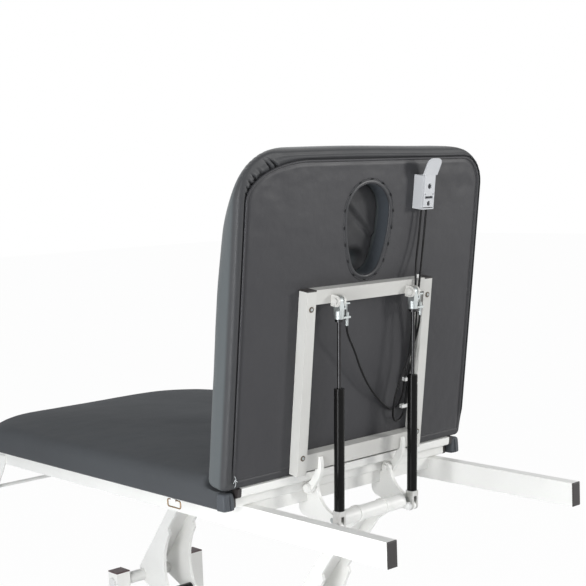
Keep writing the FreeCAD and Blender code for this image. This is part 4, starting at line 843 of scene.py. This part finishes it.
PANEL_BOX = (BACK.low + 0.0150, BACK.high - 0.0235, -HALF_WIDTH + 0.0205, HALF_WIDTH - 0.0100)
PANEL_LEVEL = -0.0010
FRAME_LEVEL = -0.0009
PANEL_CORNERS = ((0.010, 0.010), (0.080, 0.165), (0.063, 0.060), (0.010, 0.010))
GROOVE_RINGS = 9
BORDER_SAG = 2.0 * MM
LIP_RISES = (0.0046, 0.0022, 0.0014, 0.0046)
PLEAT_DEPTH = 5.6 * MM
PLEAT_RIDGE = 1.6 * MM
PLEAT_WIDTH_SHARE = 0.0085
RIDGE_PLACE_SHARE = 0.024
RIDGE_WIDTH_SHARE = 0.014
LEFT_PLEATS = ((0.12, 0.5, 0.5, 0.0), (0.20, 0.8, 0.6, 0.0), (0.28, 0.9, 0.7, 0.02),
               (0.36, 1.0, 0.7, 0.05), (0.45, 0.6, 0.6, 0.10), (0.575, 1.1, 0.85, 0.13),
               (0.64, 1.1, 0.85, 0.13))
RIGHT_PLEATS = ((0.22, 0.6, 0.6, 0.1), (0.36, 0.9, 0.8, 0.1), (0.47, 1.0, 0.9, 0.0),
                (0.60, 1.0, 0.9, 0.0), (0.74, 0.6, 0.7, 0.0))


def panel_rim(inset, side, share):
    """A point on the outline of the backrest's board, drawn in by inset."""
    x0, x1, y0, y1 = PANEL_BOX
    radii = [(max(along - inset, along * 0.3), max(across - inset, across * 0.3))
             for along, across in PANEL_CORNERS]
    middle = (y0 + y1) / 2
    box = (min(x0 + inset, (x0 + x1) / 2), max(x1 - inset, (x0 + x1) / 2),
           min(y0 + inset, middle), max(y1 - inset, middle))
    return BACK.rim(box, radii, side, share)


def corner_turn(side, share):
    """Which of the two top corners a border point is on, and how far round it, 0 to 1."""
    long_share = BACK.steps[1] / BACK.long
    wide_share = BACK.steps[1] / BACK.wide
    if side == 0 and share > 1 - long_share:
        return "left", 0.5 * (share - 1 + long_share) / long_share
    if side == 1 and share < wide_share:
        return "left", 0.5 + 0.5 * share / wide_share
    if side == 1 and share > 1 - wide_share:
        return "right", 1 - 0.5 * (share - 1 + wide_share) / wide_share
    if side == 2 and share < long_share:
        return "right", 0.5 - 0.5 * share / long_share
    return None, 0.0


def pleat_depth(side, share, blend):
    """How deep the gathers round the board's top corners fold the cover at a point."""
    corner, turn = corner_turn(side, share)
    depth = 0.0
    if corner:
        for place, strength, reach, lean in LEFT_PLEATS if corner == "left" else RIGHT_PLEATS:
            bent = place + (1 - blend) * lean
            crease = math.exp(-((turn - bent) / PLEAT_WIDTH_SHARE) ** 2)
            ridge = math.exp(-((turn - bent - RIDGE_PLACE_SHARE) / RIDGE_WIDTH_SHARE) ** 2)
            grown = ease(blend, 1 - reach, 1 - reach * 0.35)
            depth += strength * grown * (PLEAT_DEPTH * crease - PLEAT_RIDGE * ridge)
    return depth


def back_base(ring, side, share):
    """The back of the backrest's cover: a soft border, gathers and a groove round the board."""
    if ring > GROOVE_RINGS:
        drawn = (BACK.reach - 0.02) * (ring - GROOVE_RINGS) / (BACK.middle - GROOVE_RINGS)
        spot = panel_rim(drawn + 0.002, side, share)
        spot.z = BACK.bottom + 0.0008
        return spot
    blend = ring / GROOVE_RINGS
    spot = BACK.outline(BACK.edge * EDGE_SHARES[0][1], side, share)
    spot = spot.lerp(panel_rim(-0.0012, side, share), blend)
    clear = ease(spot.x, 0.07, 0.10)
    spot.z = BACK.bottom - BORDER_SAG * math.sin(math.pi * blend * 0.85) * clear
    spot.z += pleat_depth(side, share, blend)
    spot.z += LIP_RISES[side] * ease(blend, 0.78, 1.0) * clear
    if side == 1:
        spot.z -= 0.0007 * math.exp(-((blend - 0.42) / 0.07) ** 2)
        spot.z += 0.0006 * math.exp(-((blend - 0.55) / 0.07) ** 2)
    return spot


def make_back():
    """The backrest's cushion, drawn narrower towards the head and cut through for the face."""
    pad = make_pad("back_pad", BACK, back_base)
    swell(pad, lambda spot: spot.z < 0.009 or spot.x < 0.075)
    for vertex in pad.data.vertices:
        spot = vertex.co
        if spot.z > 0.008:
            spot += puckers(spot, BACK, BACK_GATHER_DEPTH, 9, "high")
        if spot.z > 0.05:
            spot.z += ripple(spot, 0.11, 1.1 * MM, 9.0) + ripple(spot, 0.04, 0.35 * MM, 2.0)
        drawn = HEAD_NARROWING * ease(spot.x, 0.40, 0.64) * ease(spot.z, 0.02, 0.055)
        spot.y -= math.copysign(drawn * ease(abs(spot.y), 0.20, 0.35), spot.y)
        keep_off_bar(spot, BACK_NOTCH, -1)
        spot.y += RIGHT_FULLNESS * ease(spot.y, 0.22, 0.358) * ease(spot.x, 0.034, 0.11)
        wave = math.sin(spot.y * 12.0 + 2.2)
        spot.x += TOP_WAVE * wave * ease(spot.x, 0.64, 0.70)
        vertex.co = back_place(spot)
    cut_hole(pad)
    finish_piece(pad, VINYL, "backrest", 60)
    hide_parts("back_cushion")


LIP_PROFILE = ((0.0050, 0.0030), (0.0012, 0.0026), (0.0, 0.0010), (-0.0002, -0.0008),
               (0.0006, -0.0022), (0.0019, -0.0029), (0.0032, -0.0026), (0.0044, -0.0014),
               (0.0056, 0.0002), (0.0072, 0.0002), (0.0092, -0.0008))


def make_back_panel():
    """The covered board on the back of the backrest, with a piped edge and soft wrinkles."""
    last = LIP_PROFILE[-1][0]

    def face_place(ring, side, share):
        spot = panel_rim(last + (BACK.reach - 0.03) * ring / BACK.middle, side, share)
        spot.z = PANEL_LEVEL
        near_edge = 1 - ease(ring, 0, 14)
        flat = flat_place(spot)
        corner = ease(spot.x, 0.50, 0.66) * ease(abs(spot.y), 0.14, 0.30)
        pull = ripple(flat, 0.032, 0.0010 + 0.0016 * corner, 6.0) * max(near_edge, corner * 0.8)
        spot.z += (pull + ripple(spot, 0.13, 0.0006, 2.5)) * ease(ring, 0, 3)
        return spot

    points, border = BACK.layer(face_place)
    faces = BACK.quads(0, True)
    rings = [border]
    for inward, height in reversed(LIP_PROFILE[:-1]):

        def lip_place(side, share):
            spot = panel_rim(inward, side, share)
            spot.z = height
            return spot

        first = len(points)
        points += BACK.border_ring(lip_place)
        rings.append(list(range(first, len(points))))
    for lower, upper in zip(rings, rings[1:]):
        faces += band(lower, upper)
    faces.append(tuple(rings[-1]))
    panel = new_piece("back_panel", points, faces)
    for vertex in panel.data.vertices:
        spot = vertex.co
        near_frame = ease(spot.x, 0.072, 0.10)
        behind_frame = ease(abs(spot.y), 0.19, 0.21) + ease(spot.x, 0.435, 0.45)
        if spot.z < FRAME_LEVEL:
            bulge = (spot.z - FRAME_LEVEL) * near_frame * min(behind_frame, 1.0)
            spot.z = FRAME_LEVEL + bulge
        vertex.co = back_place(spot)
    turn_outwards(panel)
    cut_hole(panel)
    finish_piece(panel, VINYL_BACK_SHADED, "backrest", 45)


LINING_PROFILE = ((0.0112, -0.0006), (0.0108, -0.0016), (0.0100, -0.0021), (0.0092, -0.0016),
                  (0.0085, 0.0002), (0.0068, -0.0014), (0.0045, -0.0019), (0.0022, -0.0022),
                  (0.0006, -0.0018), (-0.0007, -0.0004), (-0.0010, 0.0025), (-0.0006, 0.0100),
                  (0.0001, 0.0330), (0.0022, 0.0330), (0.0030, 0.0010))
SEAM_SPARE = 0.0092
SEAM_POINTS = 112
POINTS_PER_TUCK = 7
STITCH_SHARES = ((-1.0, 0.1), (-0.8, 0.6), (-0.3, 1.0), (0.3, 1.0), (0.8, 0.6), (1.0, 0.1))
STITCH_SIDES = 8
STITCH_HALF = Vector((4.2 * MM, 1.3 * MM, 0.8 * MM))
STITCH_LEVEL = -2.6 * MM


def make_hole_lining():
    """The rolled rim and the wall of the face hole, up to its seam."""
    rings = [lifted(egg_ring(spare, 128), height) for spare, height in LINING_PROFILE]
    lining = loft("face_hole_lining", rings, back_place, joined_ends=True)
    finish_piece(lining, VINYL_SMOOTH, "backrest", 60)


def make_seam_tucks():
    """The small tucks along the seam round the face hole."""
    row = egg_ring(SEAM_SPARE, SEAM_POINTS)
    points, faces = [], []
    for index in range(0, SEAM_POINTS, POINTS_PER_TUCK):
        spot = row[index]
        run = (row[(index + 1) % SEAM_POINTS] - spot).normalized()
        side = Vector((-run.y, run.x, 0.0))
        rings = []
        for along, size in STITCH_SHARES:
            first = len(points)
            for turn in range(STITCH_SIDES):
                angle = turn / STITCH_SIDES * math.tau
                height = STITCH_LEVEL + math.sin(angle) * STITCH_HALF.z * size
                points.append(spot + run * (along * STITCH_HALF.x) +
                              side * (math.cos(angle) * STITCH_HALF.y * size) +
                              Vector((0.0, 0.0, height)))
            rings.append(list(range(first, first + STITCH_SIDES)))
        for lower, upper in zip(rings, rings[1:]):
            faces += band(lower, upper)
        faces.append(tuple(reversed(rings[0])))
        faces.append(tuple(rings[-1]))
    tucks = new_piece("hole_seam_tucks", [back_place(spot) for spot in points], faces)
    turn_outwards(tucks)
    finish_piece(tucks, THREAD, "backrest", 60)


PLUG_BACK_LEVEL = 0.0362
PLUG_BACK_LOWEST = 0.0335
PLUG_BACK_LIMIT = 0.0410
PLUG_BACK_RINGS = 15
PLUG_RING_GAP = 3.6 * MM
PLUG_REACH = 0.062
PLUG_PROFILE = ((-0.006, 0.0366), (-0.0022, 0.0380), (-0.0008, 0.0405), (-0.0005, 0.046),
                (-0.0005, 0.058), (-0.0010, 0.0660), (-0.0028, 0.0708), (-0.007, 0.0738),
                (-0.014, 0.0755), (-0.026, 0.0768), (-0.042, 0.0775), (-PLUG_REACH, 0.0778))
PLUG_MIDDLE = Vector((0.565, 0.0, 0.0))
PLUG_HALF = 0.0632
PLUG_EDGE = 3.0 * MM
PLUG_FOLD = Vector((0.560, 0.004, 0.0))
PLUG_FOLD_SLOPE = 0.85
PLUG_FOLD_DEPTH = 4.0 * MM
PLUG_FOLD_SWELL = 2.4 * MM
PLUG_HOLLOW = Vector((0.474, -0.004, 0.0))
PLUG_HOLLOW_DEPTH = 24.0 * MM


def plug_back(spot):
    """Moves a point on the plug's loose back cover: a fold, a hollow at the tip and waves."""
    fold = spot.x - PLUG_FOLD.x + (spot.y - PLUG_FOLD.y) * PLUG_FOLD_SLOPE
    spot.z += PLUG_FOLD_DEPTH * math.exp(-(fold / 0.009) ** 2)
    spot.z -= PLUG_FOLD_SWELL * math.exp(-((fold - 0.015) / 0.008) ** 2)
    hollow = math.hypot(spot.x - PLUG_HOLLOW.x, (spot.y - PLUG_HOLLOW.y) * 0.7)
    spot.z += PLUG_HOLLOW_DEPTH * (1 - ease(hollow, 0.012, 0.030))
    spot.z += ripple(flat_place(spot), 0.03, 1.6 * MM, 4.0)
    spot.z = max(spot.z, PLUG_BACK_LOWEST)


def make_plug():
    """The padded stopper of the face hole: crowned in front, loosely covered behind."""
    profile = [(PLUG_RING_GAP * index - PLUG_REACH, PLUG_BACK_LEVEL)
               for index in range(PLUG_BACK_RINGS)]
    profile += PLUG_PROFILE
    rings = []
    for inward, height in profile:
        share = max(1 + inward / PLUG_HALF, 0.02)
        ring = []
        for spot in egg_ring(0.0):
            arm = spot - PLUG_MIDDLE
            if inward > -PLUG_EDGE:
                moved = spot + arm.normalized() * inward
            else:
                moved = PLUG_MIDDLE + arm * share
            moved.z = height
            ring.append(moved)
        rings.append(ring)
    plug = loft("face_plug_pad", rings, lambda spot: spot, (True, True))
    for vertex in plug.data.vertices:
        spot = vertex.co
        if spot.z < PLUG_BACK_LIMIT:
            plug_back(spot)
        vertex.co = back_place(spot)
    turn_outwards(plug)
    finish_piece(plug, VINYL_PLUG, "face_plug", 60)
    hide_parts("face_plug")


# Cables

CABLE_RADIUS = 2.4 * MM
SPRING_LEAN = RAISED + math.radians(2.555) - math.pi / 2
SPRING_TOP_ALONG = 0.408
SPRING_TOP_FRONT = -0.040
FERRULE_DROP = 0.0534
FERRULE_ASIDE = 0.022
CABLE_LEAD = 0.015
CABLES = {
    "right": ((582.6, 165, 14), (535, 163, 15), (490, 156, 20), (455, 147, 27),
              (432, 140.5, 31), (404, 139.5, 31), (380, 141, 28), (330, 149, 23),
              (290, 153, 19), (250, 153, 16), (222, 149, 14), (200, 144, 13), (172, 147, 12),
              (145, 146, 11), (124, 144, 10), (109, 131, 10), (109, 115, 11), (124, 104, 14.5),
              (141, 101, 17), (162, 100, 19), (188, 105, 21), (212, 113, 23), (240, 121, 27),
              (273, 129, 33), (300, 132, 39)),
    "left": ((582.6, 149, 14), (530, 146, 16), (485, 137, 21), (455, 130, 27), (432, 127.5, 31),
             (404, 130, 31), (380, 134, 28), (330, 142, 20), (290, 145, 15), (250, 145, 12),
             (222, 142, 11), (200, 137, 10), (175, 139, 9), (159, 135, 8), (143, 128, 6),
             (135, 116, 5), (139, 96, 5.5), (169, 56, 11), (207, 14, 19), (252, -23, 27),
             (297, -53, 36)),
}
STRUT_SIDE = 0.112


def behind_back(places):
    """Places in mm behind the backrest: up its length, across and out from its back."""
    return [on_back(along * MM, across * MM, -out * MM) for along, across, out in places]


def round_line(name, route, radius, steps, roundness):
    """A round line along a route, as a curve with closed ends."""
    curve = bpy.data.curves.new(name, "CURVE")
    curve.dimensions = "3D"
    line = curve.splines.new("NURBS")
    line.points.add(len(route) - 1)
    for point, spot in zip(line.points, route):
        point.co = (*spot, 1.0)
    line.order_u = 3
    line.use_endpoint_u = True
    line.resolution_u = steps
    curve.bevel_depth = radius
    curve.bevel_resolution = roundness
    curve.use_fill_caps = True
    item = bpy.data.objects.new(name, curve)
    bpy.context.scene.collection.objects.link(item)
    return item


def make_cable(side, strut_side):
    """A release cable from its ferrule at the lever bracket to the one at its gas spring."""
    route = behind_back(CABLES[side])
    down, forward = math.cos(SPRING_LEAN), math.sin(SPRING_LEAN)
    for reach in (FERRULE_DROP + CABLE_LEAD, FERRULE_DROP):
        route.append(on_back(SPRING_TOP_ALONG - reach * down, strut_side + FERRULE_ASIDE,
                             SPRING_TOP_FRONT + reach * forward))
    cable = round_line("release_cable_" + side, route, CABLE_RADIUS, 8, 4)
    cable.data.materials.append(SHEATH)
    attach(cable, "backrest")
    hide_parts("cable_" + side)
    tuple(route[0])


# Small rigid pieces that the photograph shows on the frame

def pick_faces(piece, wanted):
    """In edit mode: selects the faces whose centre and normal pass a test."""
    bpy.ops.mesh.select_all(action="DESELECT")
    bpy.ops.object.mode_set(mode="OBJECT")
    for face in piece.data.polygons:
        face.select = wanted(face.center, face.normal)
    bpy.ops.object.mode_set(mode="EDIT")


def rounded(piece, width):
    """Rounds a piece's sharp edges."""
    edge = piece.modifiers.new("edge", "BEVEL")
    edge.width = width
    edge.segments = 3
    edge.angle_limit = math.radians(35)
    only(piece)
    bpy.ops.object.modifier_apply(modifier=edge.name)


def facing(spot, axis, up):
    """The frame of a piece at a spot, its own z along axis and its own y nearly along up."""
    third = axis.normalized()
    first = up.cross(third).normalized()
    turn = Matrix((first, third.cross(first), third)).transposed()
    return Matrix.Translation(spot) @ turn.to_4x4()


def placed_copy(model, name, place):
    """A copy of a model piece, moved to its place."""
    piece = bpy.data.objects.new(name, model.data.copy())
    bpy.context.scene.collection.objects.link(piece)
    piece.data.transform(place)
    return piece


def model_dished(sides, radius, thickness, rim, rise, inner_rim, sink, edge):
    """A round head or washer standing on z = 0: a raised crown round a sunk middle."""
    bpy.ops.object.select_all(action="DESELECT")
    bpy.ops.mesh.primitive_cylinder_add(vertices=sides, radius=radius, depth=thickness,
                                        location=(0.0, 0.0, thickness / 2))
    piece = bpy.context.active_object
    only(piece)
    bpy.ops.object.transform_apply()
    bpy.ops.object.mode_set(mode="EDIT")
    pick_faces(piece, lambda centre, normal: normal.z > 0.9)
    bpy.ops.mesh.inset(thickness=rim)
    bpy.ops.transform.translate(value=(0.0, 0.0, rise))
    bpy.ops.mesh.inset(thickness=inner_rim)
    bpy.ops.mesh.extrude_region_move(TRANSFORM_OT_translate={"value": (0.0, 0.0, -sink)})
    bpy.ops.object.mode_set(mode="OBJECT")
    rounded(piece, edge)
    return piece


SCREW_LEVELS = (("upper", 0.393), ("lower", 0.080))
SCREW_ACROSS = 0.1755
SCREW_BEHIND = 0.0260


def make_screws():
    """Screws with cup washers through the backrest's uprights."""
    screw = model_dished(24, 3.2 * MM, 2.0 * MM, 1.0 * MM, 0.5 * MM, 0.9 * MM, 1.1 * MM,
                         0.25 * MM)
    cup = model_dished(32, 6.0 * MM, 1.0 * MM, 1.2 * MM, 0.6 * MM, 0.8 * MM, 1.2 * MM,
                       0.2 * MM)
    for side, sign in (("left", -1), ("right", 1)):
        for level, along in SCREW_LEVELS:
            spot = on_back(along, sign * SCREW_ACROSS, -SCREW_BEHIND)
            place = facing(spot, -TO_FRONT, UP_BACK)
            name = side + "_" + level
            ring = placed_copy(cup, "upright_washer_" + name, place)
            finish_piece(ring, DARK_CUP, "backrest", 30)
            head = placed_copy(screw, "upright_screw_" + name, place)
            finish_piece(head, ZINC, "backrest", 30)
    bpy.data.objects.remove(screw)
    bpy.data.objects.remove(cup)


def model_clip():
    """A moulded cable clip of unit size: a block with recessed ends and a waist."""
    bpy.ops.object.select_all(action="DESELECT")
    bpy.ops.mesh.primitive_cube_add(size=2.0)
    clip = bpy.context.active_object
    only(clip)
    bpy.ops.object.mode_set(mode="EDIT")
    pick_faces(clip, lambda centre, normal: abs(normal.z) > 0.9)
    bpy.ops.mesh.inset(thickness=0.28, use_individual=True)
    bpy.ops.transform.resize(value=(1.0, 1.0, 0.75))
    pick_faces(clip, lambda centre, normal: abs(normal.x) > 0.9)
    bpy.ops.mesh.inset(thickness=0.35, use_individual=True)
    bpy.ops.transform.resize(value=(0.86, 1.0, 1.0))
    bpy.ops.object.mode_set(mode="OBJECT")
    rounded(clip, 0.12)
    return clip


CLIPS = (("cable_clip_top", (439, 131.5, 31), (2.2, 3.0, 4.0)),
         ("cable_clip_upper", (203, 141.0, 11.5), (6.5, 4.4, 4.0)),
         ("cable_clip_lower", (141, 142.0, 9.5), (8.5, 4.2, 4.0)))


def make_clips():
    """The white clips that hold the cables together; their half sizes are in mm."""
    model = model_clip()
    for name, spot, size in CLIPS:
        place = facing(behind_back((spot,))[0], UP_BACK, -TO_FRONT)
        grown = Matrix.Diagonal((size[0] * MM, size[1] * MM, size[2] * MM, 1.0))
        clip = placed_copy(model, name, place @ grown)
        finish_piece(clip, WHITE_PLASTIC, "backrest", 40)
    bpy.data.objects.remove(model)


LOOSE_THREADS = (
    ((66, -338.0, 3), (61, -336.5, 6), (56, -338.0, 6), (50, -335.5, 5), (43, -336.5, 3)),
    ((58, -337.0, 3), (56, -334.0, 6), (54, -332.5, 5)),
    ((57, -337.0, 3), (55, -340.5, 5), (52, -341.5, 4)))
THREAD_RADIUS = 0.5 * MM


def make_loose_thread():
    """Three frayed ends of sewing thread at the lower corner of the board."""
    for number, places in enumerate(LOOSE_THREADS):
        only(round_line("loose_thread", behind_back(places), THREAD_RADIUS, 6, 2))
        bpy.ops.object.convert(target="MESH")
        item = bpy.context.active_object
        item.name = "loose_thread_" + str(number + 1)
        finish_piece(item, PALE_THREAD, "backrest", 60)


# Studio

FLOOR_SIZE = 40.0
FLOOR_LEVEL = -0.5 * MM
PURE_WHITE = rgb(1.0, 1.0, 1.0)
SOFT_SKY = rgb(0.93, 0.96, 1.0)
LAMP_TARGET = (0.1, 0.0, 0.85)
LAMPS = (
    ("key_lamp", (0.3, -3.5, 1.5), LAMP_TARGET, (3.4, 1.8), 22.0, (0.97, 0.99, 1.0)),
    ("strip_lamp", (0.91, -2.05, 0.75), (0.45, 0.0, 0.75), (0.5, 1.3), 24.0, (0.98, 0.99, 1.0)),
    ("right_lamp", (2.6, 1.9, 1.65), LAMP_TARGET, (0.5, 0.5), 34.0, (1.0, 0.99, 0.97)),
    ("camera_lamp", (2.2, -1.7, 2.7), LAMP_TARGET, (1.6, 1.2), 13.0, (1.0, 0.99, 0.96)),
    ("top_lamp", (-0.4, 0.6, 3.4), (0.0, 0.0, 0.6), (3.0, 2.4), 8.0, (1.0, 0.99, 0.97)))


def lamp(name, spot, target, size, power, colour):
    """A rectangular lamp turned to its target."""
    light = bpy.data.lights.new(name, "AREA")
    light.shape = "RECTANGLE"
    light.size, light.size_y = size
    light.energy = power
    light.color = colour
    item = bpy.data.objects.new(name, light)
    item.location = spot
    item.rotation_euler = (Vector(target) - Vector(spot)).to_track_quat("-Z", "Y").to_euler()
    bpy.context.scene.collection.objects.link(item)


def camera_rays(path):
    """1 where the camera, a mirror surface or clear glass looks, 0 for light itself."""
    seen = Signal(path.outputs["Is Camera Ray"]) + Signal(path.outputs["Is Glossy Ray"])
    seen = seen + Signal(path.outputs["Is Transmission Ray"])
    return seen.math("MINIMUM", 1.0)


def background(tree, colour, strength):
    shade = tree.nodes.new("ShaderNodeBackground")
    shade.inputs[0].default_value = colour
    shade.inputs[1].default_value = strength
    return shade


def make_world():
    """White to the camera, and a dimmer, cooler light from all round."""
    world = bpy.context.scene.world or bpy.data.worlds.new("studio")
    bpy.context.scene.world = world
    world.use_nodes = True
    tree = world.node_tree
    tree.nodes.clear()
    output = tree.nodes.new("ShaderNodeOutputWorld")
    path = tree.nodes.new("ShaderNodeLightPath")
    soft = background(tree, SOFT_SKY, 0.45)
    white = background(tree, PURE_WHITE, 1.0)
    blend = tree.nodes.new("ShaderNodeMixShader")
    tree.links.new(camera_rays(path).socket, blend.inputs[0])
    tree.links.new(soft.outputs[0], blend.inputs[1])
    tree.links.new(white.outputs[0], blend.inputs[2])
    tree.links.new(blend.outputs[0], output.inputs[0])


def make_floor():
    """A pale floor that glows white where the camera sees it."""
    bpy.ops.object.select_all(action="DESELECT")
    bpy.ops.mesh.primitive_plane_add(size=FLOOR_SIZE, location=(0.0, 0.0, FLOOR_LEVEL))
    floor = bpy.context.active_object
    floor.name = "studio_floor"
    ground = Finish("pale_floor", roughness=0.8)
    ground.set("Base Color", ground.mix(ground.clouds(1.5) * 0.2, rgb(0.86, 0.86, 0.86),
                                        rgb(0.9, 0.9, 0.9)))
    glow = ground.add("Emission", {}, {"Color": PURE_WHITE, "Strength": 1.0})
    mixed = ground.add("MixShader", {}, {0: camera_rays(ground.add("LightPath")) * 0.97})
    ground.tree.links.new(ground.shader.outputs[0], mixed.inputs[1])
    ground.tree.links.new(glow.outputs[0], mixed.inputs[2])
    sheet = ground.tree.nodes["Material Output"]
    ground.tree.links.new(mixed.outputs[0], sheet.inputs["Surface"])
    floor.data.materials.append(ground.material)


def make_studio():
    make_world()
    make_floor()
    for row in LAMPS:
        lamp(*row)


CAMERA_SPOT = Vector((2.26402, -1.912277, 1.332103))
CAMERA_RIGHT = Vector((0.675778, 0.736216, -0.036194))
CAMERA_UP = Vector((-0.041733, 0.087239, 0.995313))
CAMERA_AHEAD = Vector((-0.735923, 0.6711, -0.089679))
FOCAL_LENGTH = 77.869
SENSOR_WIDTH = 36.0


def make_camera():
    """The camera as it stood for the photograph, fitted to the edges of rails and frame."""
    lens = bpy.data.cameras.new("photo_camera")
    lens.sensor_width = SENSOR_WIDTH
    lens.sensor_fit = "HORIZONTAL"
    lens.lens = FOCAL_LENGTH
    lens.clip_end = 100.0
    item = bpy.data.objects.new("photo_camera", lens)
    turn = Matrix((CAMERA_RIGHT, CAMERA_UP, -CAMERA_AHEAD)).transposed()
    item.matrix_world = Matrix.Translation(CAMERA_SPOT) @ turn.to_4x4()
    bpy.context.scene.collection.objects.link(item)
    bpy.context.scene.camera = item


make_camera()
make_cable("right", STRUT_SIDE)
make_cable("left", -STRUT_SIDE)
make_studio()
make_seat()
make_corner_fold("left", -1)
make_corner_fold("right", 1)
make_back()
make_back_panel()
make_hole_lining()
make_seam_tucks()
make_plug()
make_screws()
make_clips()
make_loose_thread()

bpy.context.scene.view_settings.view_transform = "Standard"
